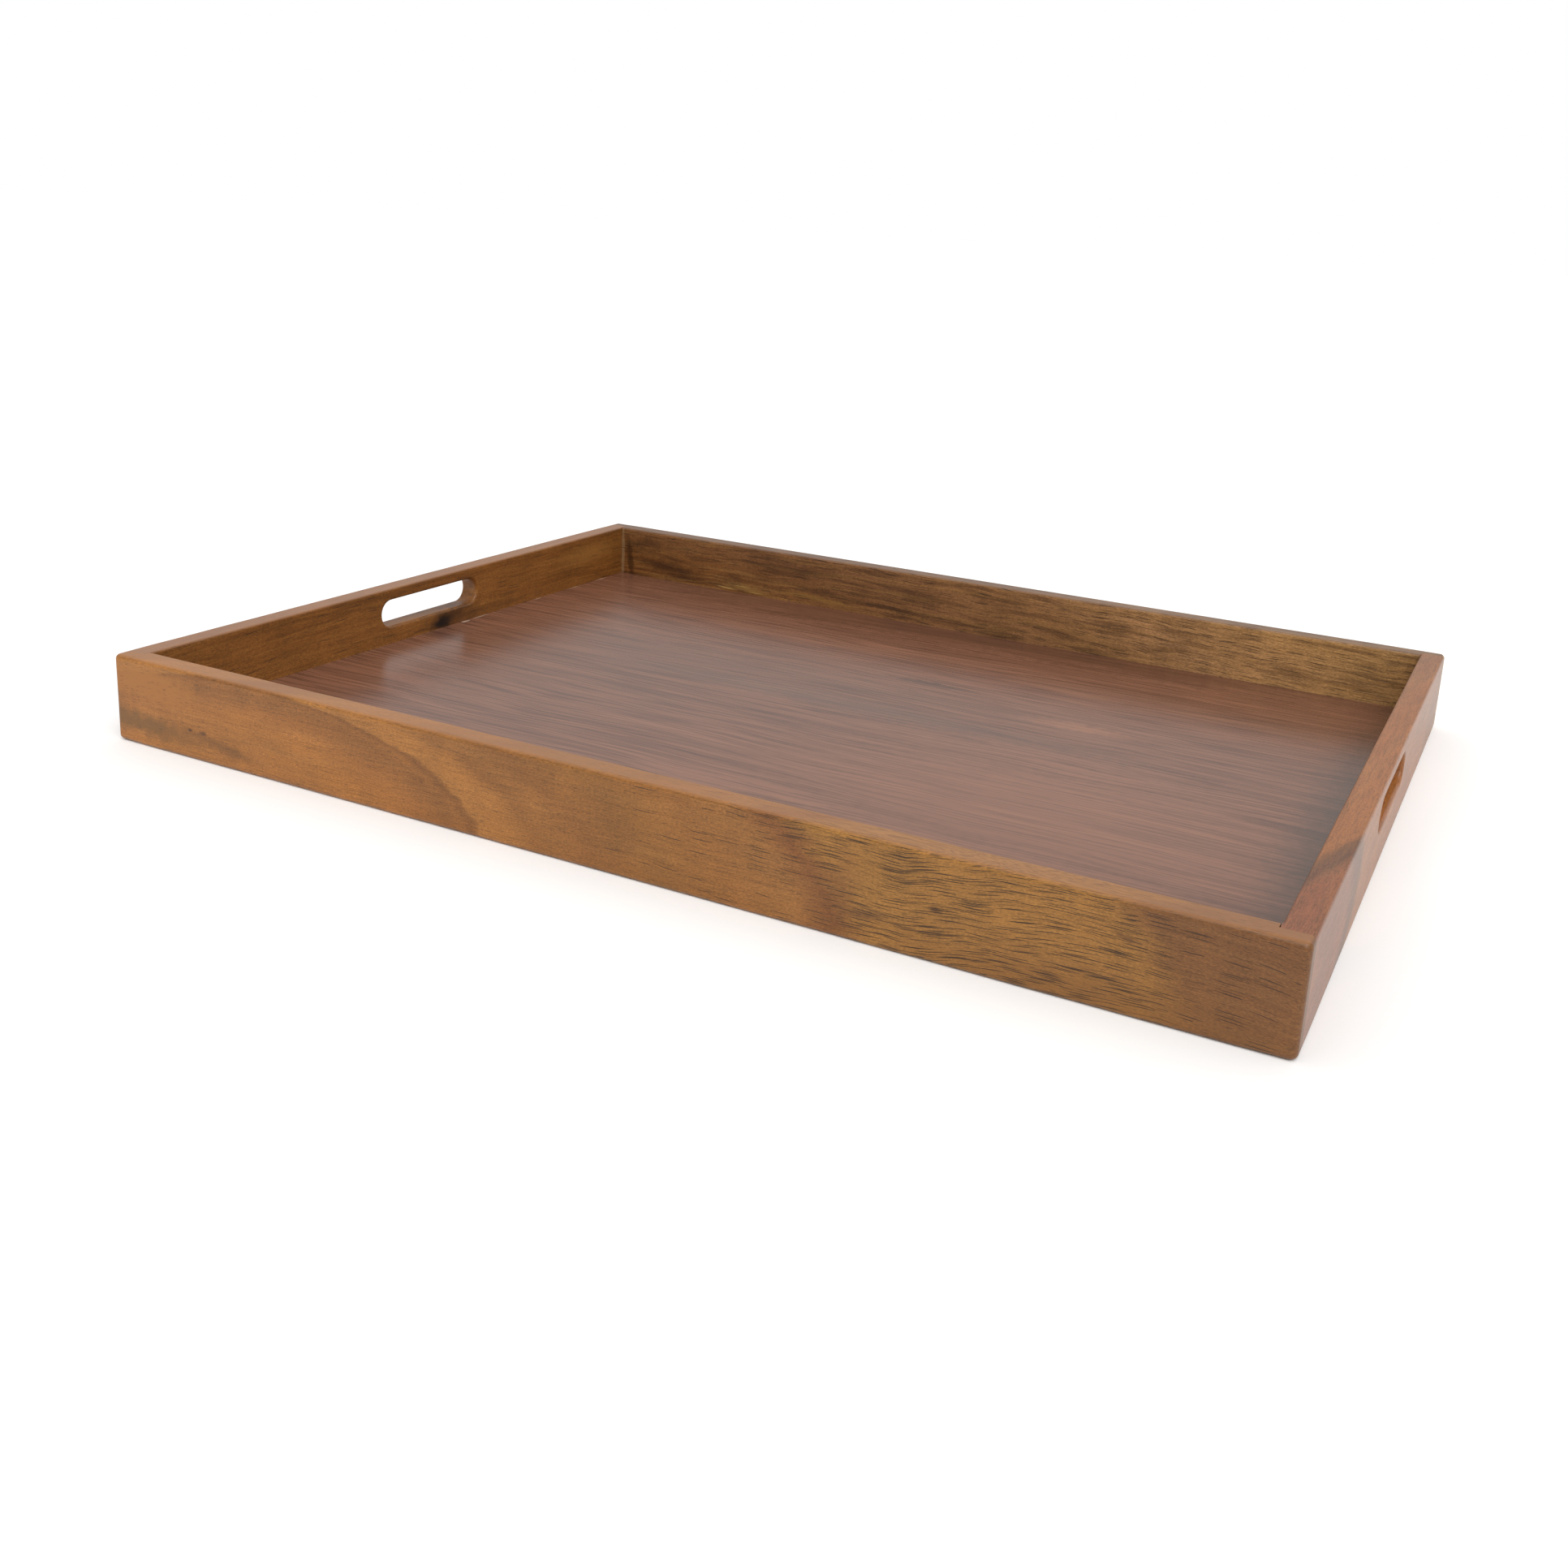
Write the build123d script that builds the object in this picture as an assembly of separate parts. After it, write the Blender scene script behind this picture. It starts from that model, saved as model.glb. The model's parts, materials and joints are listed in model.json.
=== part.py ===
"""Wooden serving tray: four rails round a floor panel, with a hand slot in each end rail.

Frame: origin at the centre of the base, +X along the tray's length, +Y from the front rail
to the rear rail, +Z up. All sizes are in millimetres.

The front and rear rails run the tray's full length. A shallow rabbet at each of their ends
takes the end of an end rail, so that a lip of the long rail covers the end grain. Brads go
through the lip, and filler covers their heads. The floor is a core panel with a laminate on
each face, held in a groove that runs round all four rails.
"""

from build123d import *
import os

# --- driving dimensions -----------------------------------------------------------------

LENGTH = 650.0            # outside, along X
WIDTH = 500.0             # outside, along Y
HEIGHT = 50.0             # rail height
RAIL_THICKNESS = 14.0     # all four rails

EDGE_ROUND = 3.0          # outer top and bottom edges, sanded after assembly
CORNER_ROUND = 4.0        # the four outer upright corners
INNER_ROUND = 1.5         # inner top and bottom edges

RABBET_DEPTH = 5.0        # how far an end rail is let into a long rail
TIGHT_SHOULDER = 0.1      # gap left at a rabbet's shoulder that closed up well
OPEN_SHOULDER = 0.5       # gap at the front right shoulder, which stands open

SLOT_LENGTH = 98.0       # hand slot, from one round end to the other
SLOT_HEIGHT = 18.0
SLOT_CENTRE_BELOW_TOP = 17.2
SLOT_ROUND = 2.0          # eased edge round the slot on both faces

SURFACE_HEIGHT = 12.0     # top of the floor above the base
LAMINATE = 0.8            # laminate on each face of the floor
CORE = 4.0                # core panel between the laminates
GROOVE_DEPTH = 5.0        # groove in the rails' inner faces
PANEL_EDGE_GAP = 1.0      # room at the groove's bottom for the panel to move

BRAD_HEIGHTS = (8.0, 25.0, 42.0)
BRAD_LENGTH = 25.0
BRAD_RADIUS = 0.6
HEAD_RADIUS = 1.0
HEAD_THICKNESS = 0.8
BRAD_SET_DEPTH = 2.0      # filler over each head, flush with the rail's face

# --- derived sizes ----------------------------------------------------------------------

INSIDE_LENGTH = LENGTH - 2 * RAIL_THICKNESS
INSIDE_WIDTH = WIDTH - 2 * RAIL_THICKNESS
LIP = RAIL_THICKNESS - RABBET_DEPTH
END_RAIL_LENGTH = WIDTH - 2 * LIP
SLOT_HEIGHT_CENTRE = HEIGHT - SLOT_CENTRE_BELOW_TOP
PANEL_THICKNESS = CORE + 2 * LAMINATE
PANEL_BOTTOM = SURFACE_HEIGHT - PANEL_THICKNESS
PANEL_LENGTH = INSIDE_LENGTH + 2 * (GROOVE_DEPTH - PANEL_EDGE_GAP)
PANEL_WIDTH = INSIDE_WIDTH + 2 * (GROOVE_DEPTH - PANEL_EDGE_GAP)
END_RAIL_MIDDLE = (LENGTH - RAIL_THICKNESS) / 2

TOLERANCE = 0.01          # for telling where an edge lies
OVERSIZE = 10.0           # how far a cutting block runs past the wood


def block(length, width, height, x=0.0, y=0.0, bottom=0.0):
    """A box centred on x and y, standing on the height bottom."""
    return Pos(x, y, bottom + height / 2) * Box(length, width, height)


def lies_on(edge, axis, place):
    """Whether an edge lies wholly in the plane at a place along an axis, on either side."""
    box = edge.bounding_box()
    low, high = getattr(box.min, axis), getattr(box.max, axis)
    return abs(abs(low) - place) < TOLERANCE and abs(low - high) < TOLERANCE


def rounded_body():
    """The tray's outer form as one block, with its corners and edges rounded."""
    body = block(LENGTH, WIDTH, HEIGHT)
    body = fillet(body.edges().filter_by(Axis.Z), CORNER_ROUND)
    rims = [e for e in body.edges() if lies_on(e, "Z", 0.0) or lies_on(e, "Z", HEIGHT)]
    return fillet(rims, EDGE_ROUND)


def open_frame():
    """The rounded body with its inside cut out and the inner edges eased."""
    frame = rounded_body() - block(INSIDE_LENGTH, INSIDE_WIDTH, HEIGHT)
    inner = []
    for edge in frame.edges():
        centre = edge.center()
        inside = (
            abs(centre.X) < INSIDE_LENGTH / 2 + TOLERANCE
            and abs(centre.Y) < INSIDE_WIDTH / 2 + TOLERANCE
        )
        if inside and (lies_on(edge, "Z", 0.0) or lies_on(edge, "Z", HEIGHT)):
            inner.append(edge)
    return fillet(inner, INNER_ROUND)


def with_hand_slots(frame):
    """Cut a round-ended slot through both end rails and ease its edges."""
    slot = Plane.YZ * SlotOverall(SLOT_LENGTH, SLOT_HEIGHT)
    frame -= Pos(0, 0, SLOT_HEIGHT_CENTRE) * extrude(slot, LENGTH, both=True)
    rims = []
    for edge in frame.edges():
        centre = edge.center()
        on_face = lies_on(edge, "X", LENGTH / 2) or lies_on(edge, "X", INSIDE_LENGTH / 2)
        near_slot = (
            abs(centre.Y) < SLOT_LENGTH / 2 + TOLERANCE
            and abs(centre.Z - SLOT_HEIGHT_CENTRE) < SLOT_HEIGHT / 2 + TOLERANCE
        )
        if on_face and near_slot:
            rims.append(edge)
    return fillet(rims, SLOT_ROUND)


def with_floor_groove(frame):
    """Cut the groove that takes the floor panel's edges."""
    length = INSIDE_LENGTH + 2 * GROOVE_DEPTH
    width = INSIDE_WIDTH + 2 * GROOVE_DEPTH
    return frame - block(length, width, PANEL_THICKNESS, bottom=PANEL_BOTTOM)


def long_rail_region(side, left_gap, right_gap):
    """The space of a front (side -1) or rear (side 1) rail, with a rabbet at each end."""
    middle = side * (WIDTH - RAIL_THICKNESS) / 2
    region = block(LENGTH, RAIL_THICKNESS, HEIGHT, y=middle)
    rabbet_y = side * (INSIDE_WIDTH + RABBET_DEPTH) / 2
    for end, gap in ((-1, left_gap), (1, right_gap)):
        shoulder = INSIDE_LENGTH / 2 - gap
        length = LENGTH / 2 - shoulder + OVERSIZE
        rabbet_x = end * (shoulder + length / 2)
        region -= block(length, RABBET_DEPTH, HEIGHT, x=rabbet_x, y=rabbet_y)
    return region


def end_rail_region(end):
    """The space of the left (end -1) or right (end 1) rail, between the long rails' lips."""
    return block(RAIL_THICKNESS, END_RAIL_LENGTH, HEIGHT, x=end * END_RAIL_MIDDLE)


def inward_cylinder(radius, depth, start, x, side, z):
    """A round bar pointing into the tray, that starts a depth below the outer face."""
    middle = side * (WIDTH / 2 - start - depth / 2)
    return Pos(x, middle, z) * Rot(90, 0, 0) * Cylinder(radius, depth)


def brad_places():
    """Every brad as the centre of its end rail, the side it enters from, and its height."""
    return [
        (end * END_RAIL_MIDDLE, side, z)
        for end in (-1, 1)
        for side in (-1, 1)
        for z in BRAD_HEIGHTS
    ]


def brad(x, side, z):
    """One brad: a thin round shank under a small flat head, set below the face."""
    shank_start = BRAD_SET_DEPTH + HEAD_THICKNESS
    shank_length = BRAD_LENGTH - HEAD_THICKNESS
    head = inward_cylinder(HEAD_RADIUS, HEAD_THICKNESS, BRAD_SET_DEPTH, x, side, z)
    return head + inward_cylinder(BRAD_RADIUS, shank_length, shank_start, x, side, z)


def filler(x, side, z):
    """The plug of filler over one brad's head."""
    return inward_cylinder(HEAD_RADIUS, BRAD_SET_DEPTH, 0.0, x, side, z)


def floor_layer(thickness, bottom):
    """One full layer of the floor panel."""
    return block(PANEL_LENGTH, PANEL_WIDTH, thickness, bottom=bottom)


def build():
    """Every node's shape by name."""
    frame = with_floor_groove(with_hand_slots(open_frame()))
    regions = {
        "front_rail": long_rail_region(-1, TIGHT_SHOULDER, OPEN_SHOULDER),
        "rear_rail": long_rail_region(1, TIGHT_SHOULDER, TIGHT_SHOULDER),
        "left_end_rail": end_rail_region(-1),
        "right_end_rail": end_rail_region(1),
    }
    brads = [brad(*place) for place in brad_places()]
    fillers = [filler(*place) for place in brad_places()]
    nodes = {name: (frame & region) - brads - fillers for name, region in regions.items()}
    nodes["floor_core"] = floor_layer(CORE, PANEL_BOTTOM + LAMINATE)
    nodes["floor_top_laminate"] = floor_layer(LAMINATE, SURFACE_HEIGHT - LAMINATE)
    nodes["floor_underside_laminate"] = floor_layer(LAMINATE, PANEL_BOTTOM)
    nodes["corner_brads"] = Compound(children=brads)
    nodes["brad_hole_fillers"] = Compound(children=fillers)
    return nodes


os.makedirs("parts", exist_ok=True)
for name, shape in build().items():
    export_step(shape, f"parts/{name}.step")
    print(f"{name}: {len(shape.solids())} solid(s), {shape.volume / 1000:.1f} cm3")
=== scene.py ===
"""The looks of a wooden serving tray: four oiled acacia rails round a printed laminate floor.

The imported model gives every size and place. The rails are rebuilt here as blanks with fine
rows of faces along their edges, and a node tree sands those edges round, as a sander does on
the glued-up frame. The floor's layers and the brads keep their own shapes and get a finish.
"""

import json
import logging
import math
from collections.abc import Callable, Iterable, Sequence
from dataclasses import dataclass
from enum import Enum
from typing import Any

import bmesh
import bpy
from mathutils import Euler, Matrix, Vector


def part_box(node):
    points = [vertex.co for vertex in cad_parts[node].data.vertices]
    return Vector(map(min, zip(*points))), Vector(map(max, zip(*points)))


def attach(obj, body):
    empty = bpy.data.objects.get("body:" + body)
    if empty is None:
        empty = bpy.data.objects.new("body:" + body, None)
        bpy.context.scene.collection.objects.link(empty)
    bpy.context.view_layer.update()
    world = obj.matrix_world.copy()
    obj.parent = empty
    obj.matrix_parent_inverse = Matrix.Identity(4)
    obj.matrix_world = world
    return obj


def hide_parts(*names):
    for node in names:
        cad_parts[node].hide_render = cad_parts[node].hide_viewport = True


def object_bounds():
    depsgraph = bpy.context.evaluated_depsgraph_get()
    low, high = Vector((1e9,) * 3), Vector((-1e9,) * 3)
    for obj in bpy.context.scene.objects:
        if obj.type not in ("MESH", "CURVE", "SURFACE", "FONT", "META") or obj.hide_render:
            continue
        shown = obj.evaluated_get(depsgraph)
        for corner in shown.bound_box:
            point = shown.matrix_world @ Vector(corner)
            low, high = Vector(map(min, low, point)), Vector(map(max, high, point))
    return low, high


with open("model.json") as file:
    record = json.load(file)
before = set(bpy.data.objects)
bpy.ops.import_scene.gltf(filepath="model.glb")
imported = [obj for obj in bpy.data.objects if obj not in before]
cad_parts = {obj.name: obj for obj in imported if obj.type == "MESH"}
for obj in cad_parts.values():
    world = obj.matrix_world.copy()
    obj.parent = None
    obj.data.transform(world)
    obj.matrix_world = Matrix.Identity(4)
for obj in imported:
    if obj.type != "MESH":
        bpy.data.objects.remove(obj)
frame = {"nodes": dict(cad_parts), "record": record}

log = logging.getLogger("serving_tray")
CAD_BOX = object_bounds()
MM = 0.001
ROOT = "root"

MATHS, VECTOR_MATHS = "ShaderNodeMath", "ShaderNodeVectorMath"
JOIN, SPLIT = "ShaderNodeCombineXYZ", "ShaderNodeSeparateXYZ"
MAPPING, MAP_RANGE = "ShaderNodeMapping", "ShaderNodeMapRange"
NOISE, MIX = "ShaderNodeTexNoise", "ShaderNodeMix"
BUMP, SHADER = "ShaderNodeBump", "ShaderNodeBsdfPrincipled"
MIX_A, MIX_B, MIX_COLOUR = 6, 7, 2  # sockets of a Mix node in its colour mode
MERGE = 1e-6                        # metres within which two vertices are one


# --- small helpers ----------------------------------------------------------------------


def linear(hex_colour: str) -> tuple[float, float, float, float]:
    """Turns an sRGB colour into the linear values that shaders work in.

    Args:
        hex_colour: Six hex digits after a hash sign.

    Returns:
        Linear red, green and blue, and an alpha of 1.
    """
    channels = [int(hex_colour[i : i + 2], 16) / 255 for i in (1, 3, 5)]
    return (*[c / 12.92 if c <= 0.04045 else ((c + 0.055) / 1.055) ** 2.4 for c in channels], 1.0)


def add_node(
    tree: bpy.types.NodeTree, kind: str, inputs: dict[Any, Any] | None = None, **settings: Any
) -> bpy.types.Node:
    """Adds one node to a tree, with its settings and links.

    Args:
        tree: A shader or geometry node tree.
        kind: The node's type.
        inputs: A value or another node's output for each input, by its name or number.
        **settings: The node's own properties.

    Returns:
        The new node.
    """
    node = tree.nodes.new(kind)
    for name, value in settings.items():
        setattr(node, name, value)
    for key, value in (inputs or {}).items():
        if isinstance(value, bpy.types.NodeSocket):
            tree.links.new(value, node.inputs[key])
        else:
            node.inputs[key].default_value = value
    return node


def fill_ramp(node: bpy.types.Node, stops: Sequence[tuple[float, Sequence[float]]]) -> None:
    """Sets a colour ramp's stops.

    Args:
        node: The Color Ramp node.
        stops: Each stop's place from 0 to 1 and its linear colour with alpha.
    """
    elements = node.color_ramp.elements
    elements.remove(elements[1])
    elements[0].position, elements[0].color = stops[0]
    for place, colour in stops[1:]:
        elements.new(place).color = colour


def new_material(name: str) -> tuple[bpy.types.Material, bpy.types.NodeTree]:
    """Makes an empty node material.

    Args:
        name: What the real material is and how its surface was made.

    Returns:
        The material and its node tree.
    """
    material = bpy.data.materials.new(name)
    material.use_nodes = True
    material.node_tree.nodes.clear()
    return material, material.node_tree


def mesh_piece(name: str, mesh: bpy.types.Mesh) -> bpy.types.Object:
    """Puts a mesh in the scene as an object at the origin.

    Args:
        name: The object's name.
        mesh: Its mesh.

    Returns:
        The object.
    """
    piece = bpy.data.objects.new(name, mesh)
    bpy.context.scene.collection.objects.link(piece)
    return piece


def bake_modifiers(piece: bpy.types.Object) -> None:
    """Turns a piece and its modifiers into one plain mesh.

    Args:
        piece: The object, which keeps its name and loses its modifiers.
    """
    bpy.context.view_layer.update()
    graph = bpy.context.evaluated_depsgraph_get()
    baked = bpy.data.meshes.new_from_object(piece.evaluated_get(graph), depsgraph=graph)
    piece.modifiers.clear()
    piece.data = baked


def run_tree(
    piece: bpy.types.Object, tree: bpy.types.NodeTree, values: dict[str, Any]
) -> None:
    """Runs a geometry node tree on a piece and keeps only its result.

    Args:
        piece: The object that the tree works on.
        tree: The geometry node tree.
        values: The tree's inputs by name.
    """
    modifier = piece.modifiers.new(tree.name, "NODES")
    modifier.node_group = tree
    for item in tree.interface.items_tree:
        if item.item_type == "SOCKET" and item.in_out == "INPUT" and item.name in values:
            modifier[item.identifier] = values[item.name]
    bake_modifiers(piece)


def new_tree(name: str, inputs: dict[str, tuple[str, Any]]) -> bpy.types.NodeTree:
    """Makes a geometry node tree with named inputs.

    Args:
        name: The tree's name.
        inputs: Each input's socket type and starting value, by its name.

    Returns:
        The tree, with a Geometry input and output and no nodes.
    """
    tree = bpy.data.node_groups.new(name, "GeometryNodeTree")
    tree.interface.new_socket("Geometry", in_out="INPUT", socket_type="NodeSocketGeometry")
    tree.interface.new_socket("Geometry", in_out="OUTPUT", socket_type="NodeSocketGeometry")
    for label, (kind, value) in inputs.items():
        socket = tree.interface.new_socket(label, in_out="INPUT", socket_type=kind)
        if value is not None:
            socket.default_value = value
    return tree


def finish_tree(tree: bpy.types.NodeTree, geometry: Any, material: Any) -> None:
    """Ends a geometry node tree in Realize Instances and Set Material.

    Args:
        tree: The tree.
        geometry: The output that holds the finished geometry.
        material: The output that holds the material.
    """
    real = add_node(tree, "GeometryNodeRealizeInstances", {"Geometry": geometry})
    inputs = {"Geometry": real.outputs[0], "Material": material}
    dressed = add_node(tree, "GeometryNodeSetMaterial", inputs)
    add_node(tree, "NodeGroupOutput", {"Geometry": dressed.outputs[0]})


# --- sizes ------------------------------------------------------------------------------


@dataclass(frozen=True)
class TraySizes:
    """The tray's sizes in metres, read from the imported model, with the few it can't tell.

    Args:
        length, width, height: The outside of the tray.
        rail: The rails' thickness.
        lip: How much of a long rail covers an end rail's end.
        floor: The height of the serving surface.
        groove_low: The height of the bottom of the floor's groove.
        slot_length, slot_height: The hand slots' size.
        slot_round: The radius that their rims are eased to.
        tight_shoulder, open_shoulder: The gap at a closed corner joint and at an open one.
    """

    length: float
    width: float
    height: float
    rail: float
    lip: float
    floor: float
    groove_low: float
    slot_length: float = 98 * MM
    slot_height: float = 18 * MM
    slot_round: float = 2.0 * MM
    tight_shoulder: float = 0.1 * MM
    open_shoulder: float = 0.5 * MM

    @classmethod
    def from_frame(cls) -> "TraySizes":
        """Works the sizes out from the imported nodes' boxes.

        Returns:
            The sizes.
        """
        low, high = (Vector(corner) for corner in CAD_BOX)
        end_low, end_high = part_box("right_end_rail")
        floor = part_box("floor_top_laminate")[1].z
        groove_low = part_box("floor_underside_laminate")[0].z
        rail = end_high.x - end_low.x
        lip = end_low.y - low.y
        return cls(high.x - low.x, high.y - low.y, high.z, rail, lip, floor, groove_low)

    @property
    def inside_length(self) -> float:
        """The distance between the end rails."""
        return self.length - 2 * self.rail

    @property
    def inside_width(self) -> float:
        """The distance between the long rails."""
        return self.width - 2 * self.rail

    @property
    def slot_middle(self) -> float:
        """The height of the hand slots' centre line."""
        holds = {m["name"]: m["pos_m"] for m in frame["record"]["mounts"]}
        return holds["left_hand_hold"][2]


# --- finishes ---------------------------------------------------------------------------


class Grain(Enum):
    """Which way a board's fibres run, as the turn that lays them along X."""

    ALONG_LENGTH = 0.0
    ALONG_WIDTH = -math.pi / 2


@dataclass(frozen=True)
class Mark:
    """A soft-edged stain, knot or patch in a board or a print, or a patch of painted light and
    shade, with its sizes in millimetres.

    Args:
        along, up: Its centre along the grain and above the base.
        length, height: Its size.
        colour: Its sRGB colour.
        strength: How much of its colour shows at its centre.
        tilt: Its slope along the grain, in degrees.
        core: How much of its radius has the full strength.
        depth: How deep its middle lies, or None for one that goes right through.
    """

    along: float
    up: float
    length: float
    height: float
    colour: str
    strength: float = 0.6
    tilt: float = 0.0
    core: float = 0.1
    depth: float | None = None

    HALF_THICK = 6.0            # half the thickness of a mark that has a depth
    THROUGH = 1e6               # half the thickness of one that goes right through
    RAGGED_SIZE = 6.25          # the size of the ragged shapes along its edge
    RAGGED_SHARE = 0.3, 0.5     # how far the edge strays, as shares of its length and height

    @property
    def deep(self) -> tuple[float, float]:
        """Where its middle lies in the board's thickness, and half of its own thickness."""
        return (0.0, self.THROUGH) if self.depth is None else (self.depth, self.HALF_THICK)

    def added(self, tree: bpy.types.NodeTree, colour: Any, place: Any) -> Any:
        """Adds the mark to a colour.

        Args:
            tree: The material's node tree.
            colour: The colour so far.
            place: Coordinates in mm, with along as X and up as Z.

        Returns:
            The colour with the mark on it.
        """
        inputs = {"Vector": place, "Scale": 1 / self.RAGGED_SIZE, "Detail": 4.0}
        ragged = add_node(tree, NOISE, inputs).outputs["Color"]
        stray_along, stray_up = self.RAGGED_SHARE
        wobble = (stray_along * self.length, 0.0, stray_up * self.height)
        inputs = {0: ragged, 1: wobble, 2: place}
        strayed = add_node(tree, VECTOR_MATHS, inputs, operation="MULTIPLY_ADD").outputs[0]
        depth, half_thick = self.deep
        centre = (self.along + wobble[0] / 2, depth, self.up + wobble[2] / 2)
        inputs = {"Vector": strayed, "Location": centre}
        inputs["Rotation"] = (0.0, -math.radians(self.tilt), 0.0)
        inputs["Scale"] = (self.length / 2, half_thick, self.height / 2)
        local = add_node(tree, MAPPING, inputs, vector_type="TEXTURE").outputs[0]
        reach = add_node(tree, VECTOR_MATHS, {0: local}, operation="LENGTH").outputs["Value"]
        span = (1.0, self.core)
        return tinted(tree, colour, reach, span, self.colour, self.strength, "SMOOTHSTEP")


def tinted(
    tree: bpy.types.NodeTree,
    colour: Any,
    pattern: Any,
    span: tuple[float, float],
    shade: str,
    strength: float,
    fade: str = "LINEAR",
) -> Any:
    """Brings a second colour into a first one, where a pattern says.

    Args:
        tree: The material's node tree.
        colour: The colour so far.
        pattern: The pattern's value at each point.
        span: The values at which the second colour starts and is fullest.
        shade: The second colour, as sRGB.
        strength: How much of it shows where it is fullest.
        fade: How it comes in between the two, as Map Range names it.

    Returns:
        The colour with the second one in it.
    """
    inputs = {"Value": pattern, "From Min": span[0], "From Max": span[1], "To Max": strength}
    amount = add_node(tree, MAP_RANGE, inputs, interpolation_type=fade).outputs[0]
    inputs = {0: amount, MIX_A: colour, MIX_B: linear(shade)}
    return add_node(tree, MIX, inputs, data_type="RGBA").outputs[MIX_COLOUR]


@dataclass(frozen=True)
class Ring:
    """One stop of a board's growth colours, going out from the heart of its figure.

    Args:
        distance: Millimetres from the figure's centre, measured along the grain.
        colour: The wood's sRGB colour there.
        pores: The share of cells there that hold a long dark pore.
    """

    distance: float
    colour: str
    pores: float


@dataclass(frozen=True)
class Pore:
    """One kind of pore, a slender dark spindle of which a cell holds one. Sizes are in mm.

    Args:
        cell_length, cell_height: The cell that holds it.
        half_length, half_height: Half of its own size.
        strength: How dark it is in its middle.
    """

    cell_length: float
    cell_height: float
    half_length: float
    half_height: float
    strength: float

    CORE = 0.65     # how much of its radius has the full strength


@dataclass(frozen=True)
class Acacia:
    """Oiled acacia, sanded smooth. Sizes are in millimetres.

    Its growth rings are stretched ellipses round a centre, so they show as cathedral arches
    on a face and as arcs on an end. Its fibres run along the board with a slight bow.
    The oil leaves an even low sheen, which only shows at grazing angles.

    Args:
        name: The real wood and how its surface was made.
        grain: Which way the fibres run.
        rings: The growth colours, from the figure's centre outwards.
        centre: The figure's centre, along the grain and above the base.
        stretch: How many times longer than high a ring is.
        bow_centre, bow_radius, bow_reach: Where the fibres bow, how tightly and how far.
        slope: The fibres' slope along the board, in degrees.
        lean: How far the figure shifts along the grain for each millimetre inward.
        dark_streak, light_streak: The streaks' sRGB colours.
        streaks: How strong the broad streaks are.
        streak_height, streak_length: The broad streaks' size.
        pore_colour: The pores' sRGB colour.
        marks: Knots, stains and patches, in the order in which they cover each other.
        wear_and_sheen_colour, wear_and_sheen_share: The top's paler tone, partly wear and partly
        painted sheen and edge highlight, and how much of it shows.
        roughness: The sheen's mean roughness.
        seed: Sets this board's figure apart from the other boards'.
    """

    name: str
    grain: Grain
    rings: tuple[Ring, ...]
    centre: tuple[float, float] = (0.0, 0.0)
    stretch: float = 3.0
    bow_centre: float = 0.0
    bow_radius: float = 6000.0
    bow_reach: float = 300.0
    slope: float = 0.0
    lean: float = 0.0
    dark_streak: str = "#473012"
    light_streak: str = "#b98a50"
    streaks: float = 0.3
    streak_height: float = 3.5
    streak_length: float = 75.0
    pore_colour: str = "#33200d"
    marks: tuple[Mark, ...] = ()
    # the top's paler tone: partly wear, partly painted sheen and edge highlight
    wear_and_sheen_colour: str = "#a06a38"
    wear_and_sheen_share: float = 0.6
    roughness: float = 0.38
    seed: float = 0.0

    SEED_SHIFT = 17.3, 5.1, 11.7        # how far one seed's figure lies from the next one's
    FIBRE_WAVE = 38.0, 30.0, 20.0       # the size of the slow waves in the fibres
    FIBRE_STRAY = 5.0                   # how far such a wave lifts them
    RING_SPAN = 640.0                   # the ring colours' whole range
    RING_WANDER = 9.0                   # how far a ring strays from its ellipse
    RING_WAVE = 36.0, 60.0, 7.0         # the size of the shapes in which it strays
    STREAK_SPAN = 0.48, 0.62            # the figure's values between which a streak comes in
    STREAK_SHIFT = 31.0                 # sets one layer of streaks apart from the next
    FINE_STREAK = 30.0, 0.9, 0.5        # the size of the fine streaks
    FINE_STREAKS = 0.3                  # how strong they are
    MOTTLE = ((24.0, 40.0, 34.0), 0.28), ((1.3, 0.6, 0.6), 0.7)     # sizes and strengths
    LONG_PORE = Pore(15.0, 0.56, 8.5, 0.2, 1.0)
    SHORT_PORE = Pore(4.2, 0.75, 1.9, 0.22, 0.4)
    SHORT_SHARE = 0.5                   # the share of cells that hold a short pore
    # the top's paler tone, partly wear and partly painted sheen and edge highlight, comes in between
    # these heights
    WEAR_AND_SHEEN_HEIGHTS = 48.8, 49.8           # the heights between which the top edge's tone comes in
    RAISED_FIBRE = 14.0, 0.5, 0.4       # the size of the fibres that the oil raised
    RAISED_SHARE = 0.25                 # their height as a share of a pore's depth
    PORE_DEPTH = 0.12                   # the depth of a pore
    RELIEF = 0.5                        # how much of the relief shows
    SHEEN_RANGE = 0.06                  # how far the roughness strays from its mean
    OILED_IOR = 1.42

    def material(self, outer: float, inward: int) -> bpy.types.Material:
        """Builds the whole material.

        Args:
            outer: Where the board's outer face lies across the grain, in millimetres.
            inward: 1 where that coordinate grows into the board, or -1.

        Returns:
            The material.
        """
        material, tree = new_material(self.name)
        place = self.place(tree, outer, inward)
        fibres = self.fibres(tree, place)
        rings = self.ring_colours(tree, place)
        colour = self.with_streaks(tree, rings.outputs["Color"], fibres)
        colour = self.with_mottle(tree, colour, place)
        for mark in self.marks:
            colour = mark.added(tree, colour, place)
        pores = self.pores(tree, fibres, rings.outputs["Alpha"])
        inputs = {0: pores, MIX_A: colour, MIX_B: linear(self.pore_colour)}
        colour = add_node(tree, MIX, inputs, data_type="RGBA").outputs[MIX_COLOUR]
        # the top's paler tone: partly wear, partly painted sheen and edge highlight
        colour = self.with_wear_and_sheen(tree, colour, place)
        self.surface(tree, colour, pores, fibres)
        return material

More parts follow.
